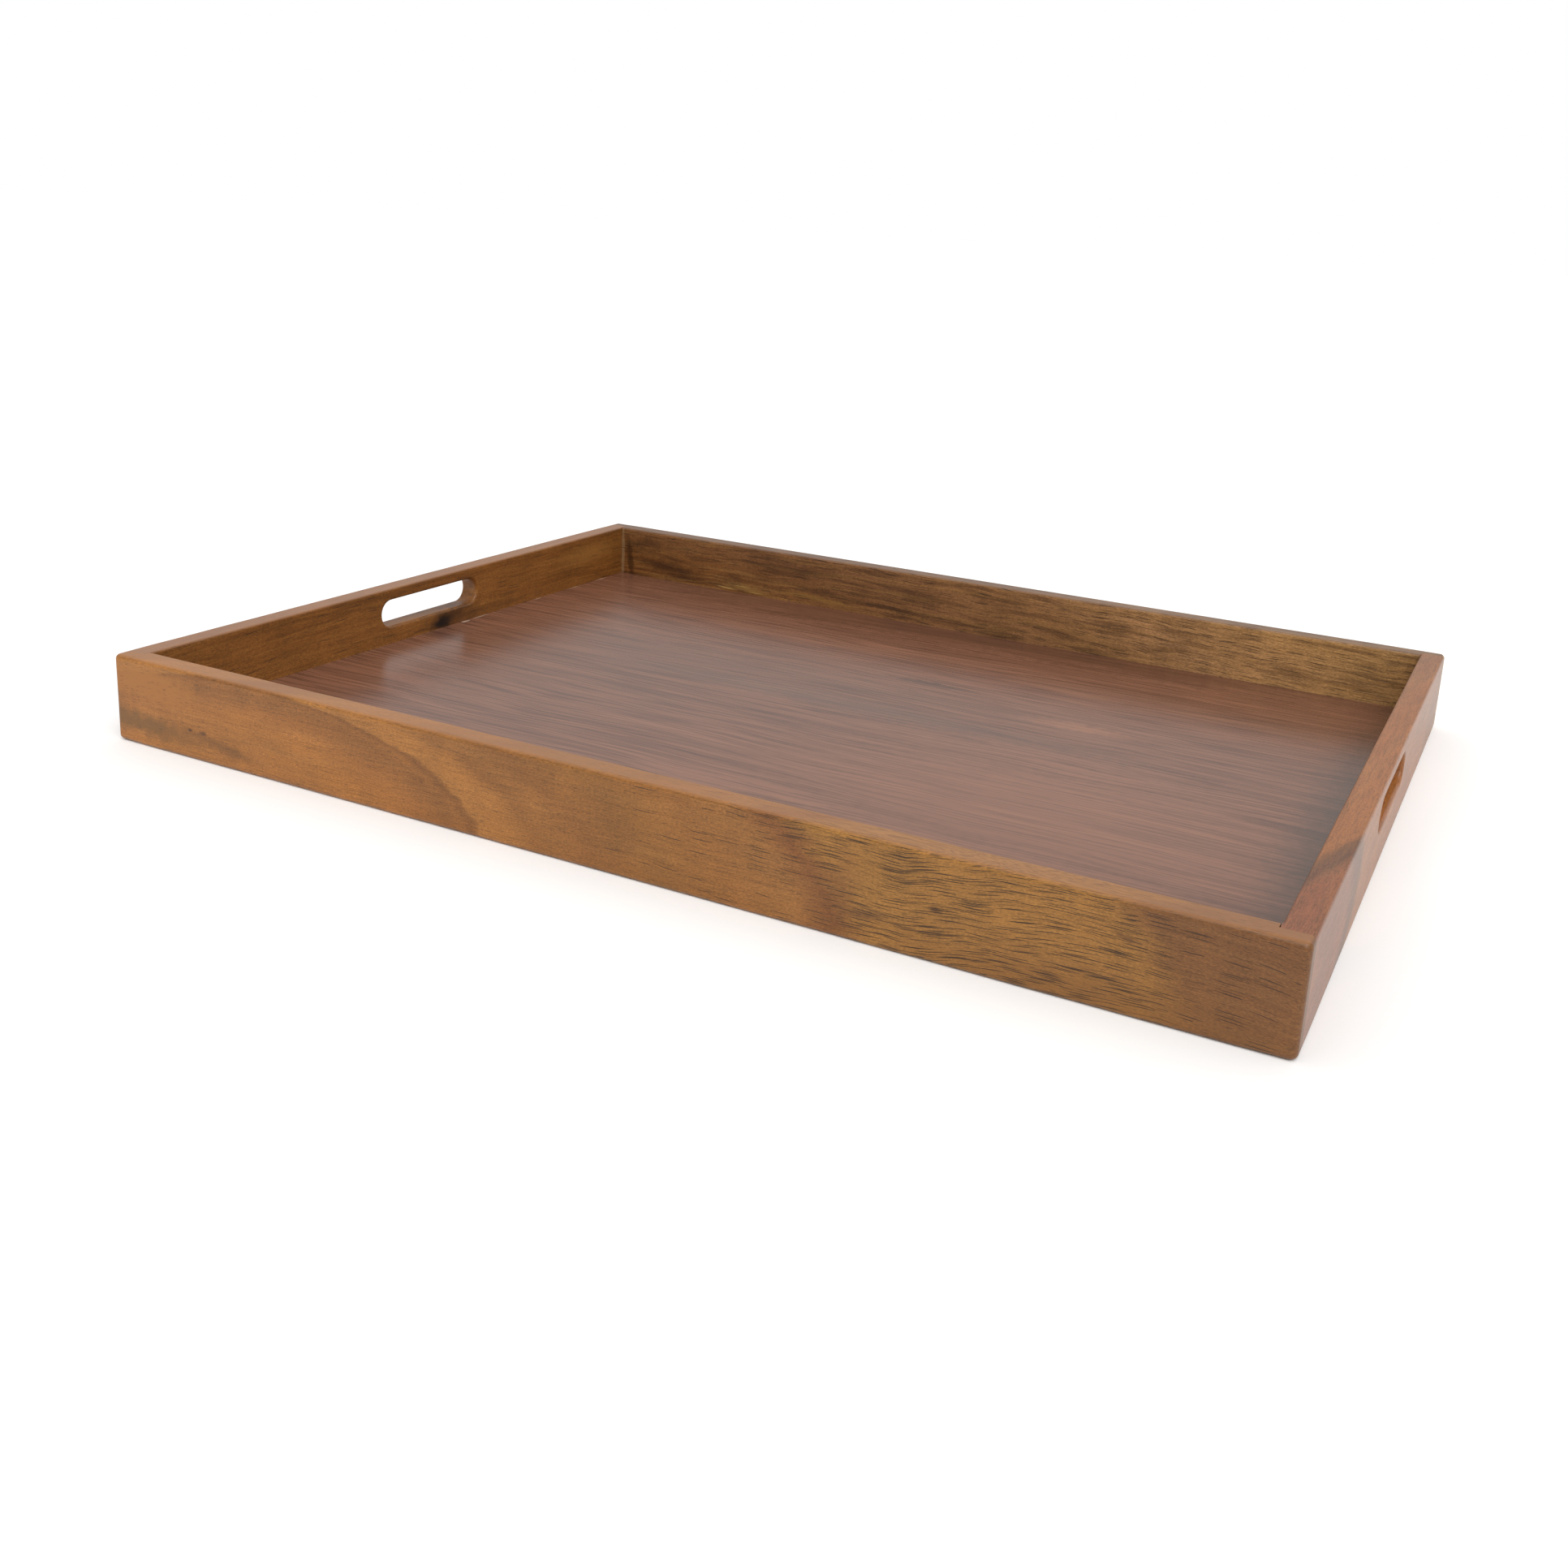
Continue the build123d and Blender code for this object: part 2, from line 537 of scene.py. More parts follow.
    def place(self, tree: bpy.types.NodeTree, outer: float, inward: int) -> Any:
        """Finds where a point lies in its board.

        Args:
            tree: The material's node tree.
            outer: Where the board's outer face lies across the grain, in millimetres.
            inward: 1 where that coordinate grows into the board, or -1.

        Returns:
            Millimetres along the grain, in from the outer face and up.
        """
        coordinates = add_node(tree, "ShaderNodeTexCoord").outputs["Object"]
        inputs = {"Vector": coordinates, "Rotation": (0, 0, self.grain.value)}
        inputs["Scale"] = (1 / MM, 1 / MM, 1 / MM)
        turned = add_node(tree, MAPPING, inputs).outputs[0]
        inputs = {"Vector": turned, "Location": (0, outer, 0), "Scale": (1, inward, 1)}
        placed = add_node(tree, MAPPING, inputs, vector_type="TEXTURE").outputs[0]
        parts = add_node(tree, SPLIT, {0: placed}).outputs
        inputs = {0: parts["Y"], 1: -self.lean, 2: parts["X"]}
        along = add_node(tree, MATHS, inputs, operation="MULTIPLY_ADD").outputs[0]
        inputs = {"X": along, "Y": parts["Y"], "Z": parts["Z"]}
        return add_node(tree, JOIN, inputs).outputs[0]

    def in_cells(self, tree: bpy.types.NodeTree, place: Any, size: Sequence[float]) -> Any:
        """Counts a place in cells of a pattern, shifted by the board's seed.

        Args:
            tree: The material's node tree.
            place: Coordinates in millimetres.
            size: A cell's size in millimetres.

        Returns:
            The coordinates in cells.
        """
        inputs = {"Vector": place, "Scale": tuple(1 / s for s in size)}
        inputs["Location"] = tuple(self.seed * shift for shift in self.SEED_SHIFT)
        return add_node(tree, MAPPING, inputs).outputs[0]

    def figure(
        self, tree: bpy.types.NodeTree, place: Any, size: Sequence[float], detail: float = 3.0
    ) -> Any:
        """Makes one layer of the board's uneven figure.

        Args:
            tree: The material's node tree.
            place: Coordinates in millimetres.
            size: The size of its shapes in millimetres.
            detail: How many finer layers it holds.

        Returns:
            A value from 0 to 1 at each point.
        """
        inputs = {"Vector": self.in_cells(tree, place, size), "Scale": 1.0, "Detail": detail}
        return add_node(tree, NOISE, inputs).outputs["Fac"]

    def fibres(self, tree: bpy.types.NodeTree, place: Any) -> Any:
        """Bends a place's height, so that it stays the same along a fibre.

        Args:
            tree: The material's node tree.
            place: Coordinates in the board, in millimetres.

        Returns:
            The coordinates with the bent height.
        """
        parts = add_node(tree, SPLIT, {0: place}).outputs
        inputs = {0: parts["X"], 1: self.bow_centre}
        along = add_node(tree, MATHS, inputs, operation="SUBTRACT").outputs[0]
        inputs = {"Value": along, "Min": -self.bow_reach, "Max": self.bow_reach}
        held = add_node(tree, "ShaderNodeClamp", inputs).outputs[0]
        bend = add_node(tree, MATHS, {0: held, 1: held}, operation="MULTIPLY").outputs[0]
        inputs = {0: bend, 1: 0.5 / self.bow_radius, 2: parts["Z"]}
        level = add_node(tree, MATHS, inputs, operation="MULTIPLY_ADD").outputs[0]
        inputs = {0: along, 1: -math.tan(math.radians(self.slope)), 2: level}
        level = add_node(tree, MATHS, inputs, operation="MULTIPLY_ADD").outputs[0]
        wave = self.figure(tree, place, self.FIBRE_WAVE, 1.0)
        inputs = {0: wave, 1: self.FIBRE_STRAY, 2: level}
        level = add_node(tree, MATHS, inputs, operation="MULTIPLY_ADD").outputs[0]
        inputs = {"X": parts["X"], "Y": parts["Y"], "Z": level}
        return add_node(tree, JOIN, inputs).outputs[0]

    def ring_colours(self, tree: bpy.types.NodeTree, place: Any) -> bpy.types.Node:
        """Makes the growth rings.

        Args:
            tree: The material's node tree.
            place: Coordinates in the board, in millimetres.

        Returns:
            The colour ramp with the growth colours, and the pores' density as its alpha.
        """
        along, up = self.centre
        inputs = {"Vector": place, "Location": (along, 0.0, up)}
        inputs["Scale"] = (1.0, 1.0, 1 / self.stretch)
        centred = add_node(tree, MAPPING, inputs, vector_type="TEXTURE").outputs[0]
        distance = add_node(tree, VECTOR_MATHS, {0: centred}, operation="LENGTH").outputs["Value"]
        stray = self.figure(tree, place, self.RING_WAVE, 4.0)
        inputs = {0: stray, 1: 2 * self.RING_WANDER, 2: distance}
        distance = add_node(tree, MATHS, inputs, operation="MULTIPLY_ADD").outputs[0]
        inputs = {"Value": distance, "From Min": self.RING_WANDER}
        inputs["From Max"] = self.RING_SPAN + self.RING_WANDER
        share = add_node(tree, MAP_RANGE, inputs).outputs[0]
        ramp = add_node(tree, "ShaderNodeValToRGB", {0: share})
        stops = [(r.distance / self.RING_SPAN, (*linear(r.colour)[:3], r.pores)) for r in self.rings]
        fill_ramp(ramp, stops)
        return ramp

    def with_streaks(self, tree: bpy.types.NodeTree, colour: Any, fibres: Any) -> Any:
        """Adds broad and fine darker and lighter streaks along the fibres.

        Args:
            tree: The material's node tree.
            colour: The colour so far.
            fibres: Coordinates that follow the fibres, in millimetres.

        Returns:
            The streaked colour.
        """
        height = self.streak_height
        length = self.streak_length
        layers = (
            (self.dark_streak, (length, 12.0, height), 3.0, self.streaks),
            (self.light_streak, (1.3 * length, 9.0, 0.7 * height), 3.0, 0.7 * self.streaks),
            (self.dark_streak, self.FINE_STREAK, 4.0, self.FINE_STREAKS),
        )
        for index, (shade, size, detail, strength) in enumerate(layers):
            inputs = {0: fibres, 1: (0.0, 0.0, self.STREAK_SHIFT * index)}
            shifted = add_node(tree, VECTOR_MATHS, inputs).outputs[0]
            streak = self.figure(tree, shifted, size, detail)
            colour = tinted(tree, colour, streak, self.STREAK_SPAN, shade, strength)
        return colour

    def with_mottle(self, tree: bpy.types.NodeTree, colour: Any, place: Any) -> Any:
        """Adds the faint cloudy figure across the grain, and the finest grain.

        Args:
            tree: The material's node tree.
            colour: The colour so far.
            place: Coordinates in the board, in millimetres.

        Returns:
            The mottled colour.
        """
        for size, depth in self.MOTTLE:
            cloud = self.figure(tree, place, size)
            inputs = {"Value": cloud, "To Min": 1 - depth, "To Max": 1 + depth}
            gain = add_node(tree, MAP_RANGE, inputs).outputs[0]
            inputs = {0: colour, "Scale": gain}
            colour = add_node(tree, VECTOR_MATHS, inputs, operation="SCALE").outputs[0]
        return colour

    def with_wear_and_sheen(self, tree: bpy.types.NodeTree, colour: Any, place: Any) -> Any:
        """Adds the paler tone of the top and its edges. It is partly wear, where hands and sanding
        took the oil, and partly painted sheen and edge highlight.

        Args:
            tree: The material's node tree.
            colour: The colour so far.
            place: Coordinates in the board, in millimetres.

        Returns:
            The colour with the top edge's tone.
        """
        up = add_node(tree, SPLIT, {0: place}).outputs["Z"]
        # painted sheen and edge highlight on the top, mixed with its wear
        return tinted(tree, colour, up, self.WEAR_AND_SHEEN_HEIGHTS, self.wear_and_sheen_colour, self.wear_and_sheen_share)

    def pores(self, tree: bpy.types.NodeTree, fibres: Any, density: Any) -> Any:
        """Makes the pores, long open ones and short fine ones.

        Args:
            tree: The material's node tree.
            fibres: Coordinates that follow the fibres, in millimetres.
            density: The share of cells that hold a long pore.

        Returns:
            How much of a pore shows at a point.
        """
        long_one = self.spindles(tree, fibres, self.LONG_PORE, density)
        short_one = self.spindles(tree, fibres, self.SHORT_PORE, self.SHORT_SHARE)
        inputs = {0: long_one, 1: short_one}
        return add_node(tree, MATHS, inputs, operation="MAXIMUM").outputs[0]

    def spindles(self, tree: bpy.types.NodeTree, fibres: Any, pore: Pore, share: Any) -> Any:
        """Scatters pores of one kind through the wood, one to a cell.

        Args:
            tree: The material's node tree.
            fibres: Coordinates that follow the fibres, in millimetres.
            pore: The kind of pore.
            share: The share of cells that hold one.

        Returns:
            The pore's strength at a point, 0 outside every pore.
        """
        cell = (pore.cell_length, pore.cell_height, pore.cell_height)
        counted = self.in_cells(tree, fibres, cell)
        cells = add_node(tree, "ShaderNodeTexVoronoi", {"Vector": counted, "Scale": 1.0}).outputs
        inputs = {0: counted, 1: cells["Position"]}
        away = add_node(tree, VECTOR_MATHS, inputs, operation="SUBTRACT").outputs[0]
        thick = pore.cell_height / pore.half_height
        inputs = {0: away, 1: (pore.cell_length / pore.half_length, thick, thick)}
        local = add_node(tree, VECTOR_MATHS, inputs, operation="MULTIPLY").outputs[0]
        reach = add_node(tree, VECTOR_MATHS, {0: local}, operation="LENGTH").outputs["Value"]
        inputs = {"Value": reach, "From Min": 1.0, "From Max": pore.CORE, "To Max": pore.strength}
        shown = add_node(tree, MAP_RANGE, inputs).outputs[0]
        lot = add_node(tree, "ShaderNodeSeparateColor", {0: cells["Color"]}).outputs[0]
        kept = add_node(tree, MATHS, {0: lot, 1: share}, operation="LESS_THAN").outputs[0]
        return add_node(tree, MATHS, {0: shown, 1: kept}, operation="MULTIPLY").outputs[0]

    def surface(self, tree: bpy.types.NodeTree, colour: Any, pores: Any, fibres: Any) -> None:
        """Joins the colour to the sheen, and to the relief of pores and raised fibres.

        Args:
            tree: The material's node tree.
            colour: The finished colour.
            pores: How much of a pore shows at a point.
            fibres: Coordinates that follow the fibres, in millimetres.
        """
        fine = self.figure(tree, fibres, self.RAISED_FIBRE)
        inputs = {0: fine, 1: self.RAISED_SHARE}
        raised = add_node(tree, MATHS, inputs, operation="MULTIPLY").outputs[0]
        height = add_node(tree, MATHS, {0: raised, 1: pores}, operation="SUBTRACT").outputs[0]
        inputs = {"Height": height, "Distance": self.PORE_DEPTH * MM, "Strength": self.RELIEF}
        relief = add_node(tree, BUMP, inputs).outputs[0]
        inputs = {"Value": fine, "To Min": self.roughness - self.SHEEN_RANGE}
        inputs["To Max"] = self.roughness + self.SHEEN_RANGE
        sheen = add_node(tree, MAP_RANGE, inputs).outputs[0]
        inputs = {"Base Color": colour, "Roughness": sheen, "Normal": relief}
        shader = add_node(tree, SHADER, {**inputs, "IOR": self.OILED_IOR}).outputs[0]
        add_node(tree, "ShaderNodeOutputMaterial", {"Surface": shader})


@dataclass(frozen=True)
class PrintedLaminate:
    """Printed melamine laminate, pressed to a satin face with a straight rosewood grain.

    The print is flat, so its lines are colour only. The pressed face is smooth enough to
    mirror the rails softly at grazing angles. Sizes are in millimetres.

    Args:
        name: The real laminate and how its surface was made.
        base, dark, light: The print's sRGB colours.
        roughness: The pressed face's roughness.
        marks: Patches of other tones, printed ones and painted light and shade, in the order in
            which they cover each other.
        seed: Sets this sheet's print apart from the other's.
    """

    name: str
    base: str = "#7a523f"
    dark: str = "#4c2e22"
    light: str = "#91624a"
    roughness: float = 0.25
    marks: tuple[Mark, ...] = ()
    seed: float = 0.0

    LINE_SPAN = 0.48, 0.6       # the pattern's values between which a line comes in
    LINE_SHIFT = 7.7, 3.1       # sets one layer of lines apart from the next
    WANDER_SIZE = 240.0, 90.0   # the size of the bends in the lines
    WANDER = 26.0               # how far they bend
    GRIT_SIZE = 1 / 1.4         # the size of the pressed face's texture
    GRIT_DEPTH = 0.02           # its depth
    GRIT_SHOWN = 0.3            # how much of it shows
    MELAMINE_IOR = 1.5

    @property
    def layers(self) -> tuple[tuple[str, tuple[float, float], float, float], ...]:
        """Each layer of lines from broad to fine: colour, size, detail and strength."""
        return (
            (self.dark, (300.0, 30.0), 3.0, 0.3),
            (self.light, (260.0, 12.0), 3.0, 0.4),
            (self.dark, (120.0, 3.4), 3.0, 0.42),
            (self.light, (90.0, 2.1), 2.0, 0.35),
            (self.dark, (60.0, 1.7), 3.0, 0.5),
        )

    def material(self) -> bpy.types.Material:
        """Builds the whole material.

        Returns:
            The material.
        """
        material, tree = new_material(self.name)
        coordinates = add_node(tree, "ShaderNodeTexCoord").outputs["Object"]
        inputs = {"Vector": coordinates, "Scale": (1 / MM, 1 / MM, 1 / MM)}
        place = add_node(tree, MAPPING, inputs).outputs[0]
        colour = self.lined(tree, self.bent(tree, place))
        parts = add_node(tree, SPLIT, {0: place}).outputs
        flat = add_node(tree, JOIN, {"X": parts["X"], "Z": parts["Y"]}).outputs[0]
        for mark in self.marks:
            colour = mark.added(tree, colour, flat)
        inputs = {"Vector": place, "Scale": 1 / self.GRIT_SIZE, "Detail": 2.0}
        grit = add_node(tree, NOISE, inputs).outputs["Fac"]
        inputs = {"Height": grit, "Distance": self.GRIT_DEPTH * MM, "Strength": self.GRIT_SHOWN}
        relief = add_node(tree, BUMP, inputs).outputs[0]
        inputs = {"Base Color": colour, "Roughness": self.roughness, "Normal": relief}
        shader = add_node(tree, SHADER, {**inputs, "IOR": self.MELAMINE_IOR}).outputs[0]
        add_node(tree, "ShaderNodeOutputMaterial", {"Surface": shader})
        return material

    def bent(self, tree: bpy.types.NodeTree, place: Any) -> Any:
        """Bends a place's width, so that the printed lines bow and wander.

        Args:
            tree: The material's node tree.
            place: Coordinates in millimetres.

        Returns:
            The bent coordinates.
        """
        length, width = self.WANDER_SIZE
        inputs = {"Vector": place, "Scale": (1 / length, 1 / width, 0.0)}
        cell = add_node(tree, MAPPING, inputs).outputs[0]
        inputs = {"Vector": cell, "Scale": 1.0, "Detail": 2.0}
        wander = add_node(tree, NOISE, inputs).outputs["Fac"]
        inputs = {0: wander, 1: (0.0, self.WANDER, 0.0), 2: place}
        return add_node(tree, VECTOR_MATHS, inputs, operation="MULTIPLY_ADD").outputs[0]

    def lined(self, tree: bpy.types.NodeTree, lines: Any) -> Any:
        """Prints the layers of lines over the base colour.

        Args:
            tree: The material's node tree.
            lines: Coordinates that follow the lines, in millimetres.

        Returns:
            The printed colour.
        """
        colour: Any = linear(self.base)
        along, across = self.LINE_SHIFT
        for index, (shade, (length, width), detail, strength) in enumerate(self.layers):
            inputs = {"Vector": lines, "Scale": (1 / length, 1 / width, 0.0)}
            inputs["Location"] = (self.seed + along * index, across * index, 0.0)
            cell = add_node(tree, MAPPING, inputs).outputs[0]
            inputs = {"Vector": cell, "Scale": 1.0, "Detail": detail}
            line = add_node(tree, NOISE, inputs).outputs["Fac"]
            colour = tinted(tree, colour, line, self.LINE_SPAN, shade, strength)
        return colour


@dataclass(frozen=True)
class PlainFinish:
    """A plain finish with a mottled colour, for pieces that hardly show.

    Args:
        name: The real material and how it was made.
        light, dark: The two sRGB colours that the mottle runs between.
        grain: The mottle's size in millimetres along X, Y and Z.
        roughness, metallic: The surface's values.
        relief: The mottle's depth in millimetres.
    """

    name: str
    light: str
    dark: str
    grain: tuple[float, float, float]
    roughness: float
    metallic: float = 0.0
    relief: float = 0.05

    def material(self) -> bpy.types.Material:
        """Builds the whole material.

        Returns:
            The material.
        """
        material, tree = new_material(self.name)
        coordinates = add_node(tree, "ShaderNodeTexCoord").outputs["Object"]
        inputs = {"Vector": coordinates, "Scale": tuple(1 / (g * MM) for g in self.grain)}
        cell = add_node(tree, MAPPING, inputs).outputs[0]
        inputs = {"Vector": cell, "Scale": 1.0, "Detail": 4.0}
        speck = add_node(tree, NOISE, inputs).outputs["Fac"]
        inputs = {0: speck, MIX_A: linear(self.light), MIX_B: linear(self.dark)}
        colour = add_node(tree, MIX, inputs, data_type="RGBA").outputs[MIX_COLOUR]
        inputs = {"Height": speck, "Distance": self.relief * MM}
        relief = add_node(tree, BUMP, inputs).outputs[0]
        inputs = {"Base Color": colour, "Roughness": self.roughness, "Normal": relief}
        shader = add_node(tree, SHADER, {**inputs, "Metallic": self.metallic}).outputs[0]
        add_node(tree, "ShaderNodeOutputMaterial", {"Surface": shader})
        return material


# The oil deepens the wood to a warm brown, the sanding leaves its pores open as fine dark
# dashes, and the low sheen only catches the light at grazing angles. This board has an
# arched figure and knots at its left end, and long open pores in its right half.
FRONT_ACACIA = Acacia(
    name="oiled acacia, sanded, front board",
    grain=Grain.ALONG_LENGTH,
    centre=(-225.0, -2.0),
    bow_centre=258.0,
    bow_radius=520.0,
    bow_reach=100.0,
    # the top's paler tone: partly wear, partly painted sheen and edge highlight
    wear_and_sheen_colour="#ab7850",
    wear_and_sheen_share=0.45,
    rings=(
        Ring(0, "#97602a", 0.0),
        Ring(70, "#9d6429", 0.0),
        Ring(100, "#a0652a", 0.0),
        Ring(120, "#935c27", 0.0),
        Ring(138, "#865423", 0.0),
        Ring(146, "#8f5a26", 0.0),
        Ring(154, "#7b4c1f", 0.0),
        Ring(157, "#a0692f", 0.0),
        Ring(176, "#a0682e", 0.0),
        Ring(192, "#8a5826", 0.0),
        Ring(206, "#905d29", 0.0),
        Ring(222, "#855424", 0.0),
        Ring(262, "#895925", 0.02),
        Ring(300, "#8e5b27", 0.1),
        Ring(332, "#92602d", 0.25),
        Ring(350, "#7b4a21", 0.45),
        Ring(368, "#95662c", 0.95),
        Ring(492, "#93642b", 0.95),
        Ring(510, "#764b24", 0.25),
        Ring(560, "#6e4522", 0.15),
    ),
    lean=2.2,
    streaks=0.08,
    marks=(
        Mark(-300, 37, 100, 26, "#9d6429", 0.85, 0, 0.4),
        Mark(-308, 14, 130, 19, "#67471f", 0.75, -5, 0.2),
        Mark(-246, 12, 90, 9, "#61401c", 0.6, -9, 0.1),
        Mark(-267, 16.5, 5, 2.6, "#3c1d0e", 0.9),
        Mark(-257.5, 16.5, 8, 4, "#4a2a17", 0.8),
        Mark(235, 4, 230, 46, "#7a4f24", 0.55),
        Mark(141, 14, 34, 8, "#5c3a1e", 0.6, 8),
        Mark(173, 24.7, 9, 4.5, "#40240f", 0.8),
        Mark(255, 34, 16, 5, "#59361a", 0.6, -12),
        Mark(130, 30, 22, 44, "#6b4122", 0.35),
    ),
    seed=1.0,
)
# The same oiled wood from another board: a straight, tightly streaked figure, darker to the
# left, with a few pale sapwood lines. It looks coarser and less even than the front.
REAR_ACACIA = Acacia(
    name="oiled acacia, sanded, rear board",
    grain=Grain.ALONG_LENGTH,
    centre=(-340.0, 6.0),
    stretch=6.0,
    rings=(
        Ring(0, "#7a4820", 0.1),
        Ring(150, "#7e5128", 0.12),
        Ring(330, "#845a38", 0.2),
        Ring(430, "#966b42", 0.3),
        Ring(520, "#ad8155", 0.35),
        Ring(640, "#b58a56", 0.35),
    ),
    bow_centre=-40.0,
    bow_radius=9000.0,
    slope=-1.5,
    dark_streak="#3f2716",
    light_streak="#a07642",
    streaks=0.5,
    streak_height=3.2,
    streak_length=42.0,
    # the top's paler tone: partly wear, partly painted sheen and edge highlight
    wear_and_sheen_colour="#6a4e3c",
    wear_and_sheen_share=0.7,
    marks=(
        Mark(-262, 22, 84, 18, "#3a2213", 0.7, -6, 0.1),
        Mark(-285, 40, 60, 14, "#3f2716", 0.6),
        Mark(-302, 22, 9, 60, "#38200f", 0.75, 8, 0.2, 14),
        Mark(-310, 26, 5, 80, "#9a7c58", 0.6, 0, 0.5, 14),
        Mark(-210, 14.5, 26, 2.0, "#c09a5a", 0.85, -3),
        Mark(-197, 17.5, 24, 1.6, "#b88f50", 0.8, -5),
        Mark(-183, 14.0, 18, 1.8, "#b88f50", 0.7, -2),
        Mark(-192, 16.0, 60, 7.0, "#94703c", 0.6, -4),
        Mark(-130, 18, 90, 7, "#9a7038", 0.6, -3),
        Mark(-60, 20, 150, 6, "#3a2414", 0.5, -3),
        Mark(-150, 38, 120, 14, "#4a2e18", 0.45),
    ),
    seed=2.0,
)
# A calm, evenly streaked board that looks warm and quiet, but for the dark knot under its slot.
LEFT_ACACIA = Acacia(
    name="oiled acacia, sanded, left board",
    grain=Grain.ALONG_WIDTH,
    centre=(-200.0, 10.0),
    stretch=8.0,
    rings=(
        Ring(0, "#8a5726", 0.05),
        Ring(240, "#8d5a27", 0.05),
        Ring(640, "#845224", 0.05),
    ),
    dark_streak="#54300f",
    light_streak="#a37034",
    streaks=0.4,
    # the top's paler tone: partly wear, partly painted sheen and edge highlight
    wear_and_sheen_colour="#986f55",
    wear_and_sheen_share=0.6,
    marks=(
        Mark(24, 17, 90, 24, "#4f2f13", 0.65),
        Mark(28, 21, 40, 12, "#3a2210", 0.6, 12),
        Mark(11, 16, 36, 17, "#180c06", 1.0, 8, 0.1),
        Mark(190, 36, 120, 22, "#a5763a", 0.4),
    ),
    seed=3.0,
)
# A redder board that was sanded finer, so it shines a little more. Its rings cross it at a
# slant and show as one broad dark band.
RIGHT_ACACIA = Acacia(
    name="oiled acacia, sanded, right board",
    grain=Grain.ALONG_WIDTH,
    centre=(-258.0, 30.0),
    lean=-3.14,
    rings=(
        Ring(0, "#9a5c2f", 0.0),
        Ring(25, "#96582e", 0.0),
        Ring(45, "#8a5030", 0.0),
        Ring(112, "#8c5231", 0.0),
        Ring(130, "#6f4429", 0.0),
        Ring(144, "#734827", 0.0),
        Ring(156, "#9c6030", 0.0),
        Ring(340, "#995d2f", 0.0),
        Ring(640, "#8b5b39", 0.0),
    ),
    streaks=0.12,
    wear_and_sheen_share=0.0,
    roughness=0.34,
    seed=4.0,
)
# Press plates leave melamine an even satin face over a flat print: crisp dark lines with no
# depth, and a soft pale mirror of the light towards the rear. Four marks are painted light and
# shade: a lighter right half, a darker left half, and dark bands along the rear and right
# rails. The last five marks are chips along the left joint.
FLOOR_LAMINATE = PrintedLaminate(
    "melamine laminate, printed rosewood, satin pressed",
    marks=(
        # painted light: the floor's right half lighter, where the lamp from the right falls
        Mark(150, -90, 460, 300, "#94644a", 0.35),
        # painted reflection of the rear rail: a dark band along it, where the floor mirrors the rail
        Mark(0, 226, 800, 96, "#4c3022", 0.5, 0, 0.3),
        Mark(-60, 60, 500, 60, "#5a4032", 0.3),
        # painted shade: the floor's left half darker, away from the lamp on the right
        Mark(-190, 20, 330, 330, "#5e3e2e", 0.25),
        Mark(0, 24, 500, 44, "#56453a", 0.4),
        Mark(24, 96, 90, 14, "#3c2a20", 0.7),
        Mark(139, 66, 110, 26, "#a26e50", 0.5),
        # painted shadow of the right rail: a dark band along it, where the rail blocks the lamp from
        # the right
        Mark(311, 0, 84, 620, "#4a3a30", 0.6, 0, 0.2),
        Mark(-309.6, 34, 3.4, 13, "#cdb8a6", 0.9),
        Mark(-310, 52, 2.4, 22, "#b9a08c", 0.8),
        Mark(-310, 120, 2.2, 16, "#b39a86", 0.7),
        Mark(-310, 168, 2.0, 24, "#a98d78", 0.7),
        Mark(-310, 205, 2.6, 20, "#b39a86", 0.7),
    ),
)
# The balancing sheet has the same print under a matt plate, so it reflects next to nothing.
BACK_LAMINATE = PrintedLaminate(
    "melamine laminate, printed rosewood, matt pressed", roughness=0.5, seed=40.0
)
# Pressed wood fibres look like a dull tan felt, with no grain direction.
CORE_BOARD = PlainFinish(
    "fibreboard, pressed and sanded", "#b39466", "#9a7c52", (0.8, 0.8, 0.3), 0.85
)
# Drawing leaves fine scratches along the wire, which stretch its highlight lengthways.
BRAD_WIRE = PlainFinish(
    "steel wire, drawn bright", "#c8c8cc", "#a2a3a8", (0.2, 6.0, 0.2), 0.32, 1.0, 0.01
)
# Filler takes no oil, so it dries to a flat grey-brown dot without grain or shine.
WOOD_FILLER = PlainFinish(
    "wood filler, sanded flush", "#7f5b4a", "#6a4a3c", (0.5, 0.5, 0.5), 0.6
)


# --- rails ------------------------------------------------------------------------------


EDGE_ROWS = tuple(r * MM for r in (0.0, 0.35, 0.75, 1.2, 1.8, 2.5, 3.3, 4.3, 5.5))
SAME_ROW = 1e-7     # metres within which two rows are one
STEP_SLACK = 1e-6   # keeps a gap of exactly one step from being halved


def rows(low: float, high: float, fine_ends: bool, extra: Iterable[float], step: float) -> list[float]:
    """Rows of a blank along one axis: fine at its ends and at most a step apart between.

    Args:
        low, high: Where the rows start and end.
        fine_ends: Whether both ends get the fine rows that a rounded edge needs.
        extra: Further places that need a row.
        step: The largest gap between two rows.

    Returns:
        The rows in order.
    """
    fixed = {low, high, *extra}
    if fine_ends:
        fixed |= {low + r for r in EDGE_ROWS} | {high - r for r in EDGE_ROWS}
    ordered = sorted(fixed)
    kept = [ordered[0]]
    for place in ordered[1:]:
        gap = place - kept[-1]
        if gap < SAME_ROW:
            continue
        parts = max(1, math.ceil(gap / step - STEP_SLACK))
        start = kept[-1]
        kept += [start + gap * i / parts for i in range(1, parts + 1)]
    return kept


Solid = Callable[[float, float, float], bool]


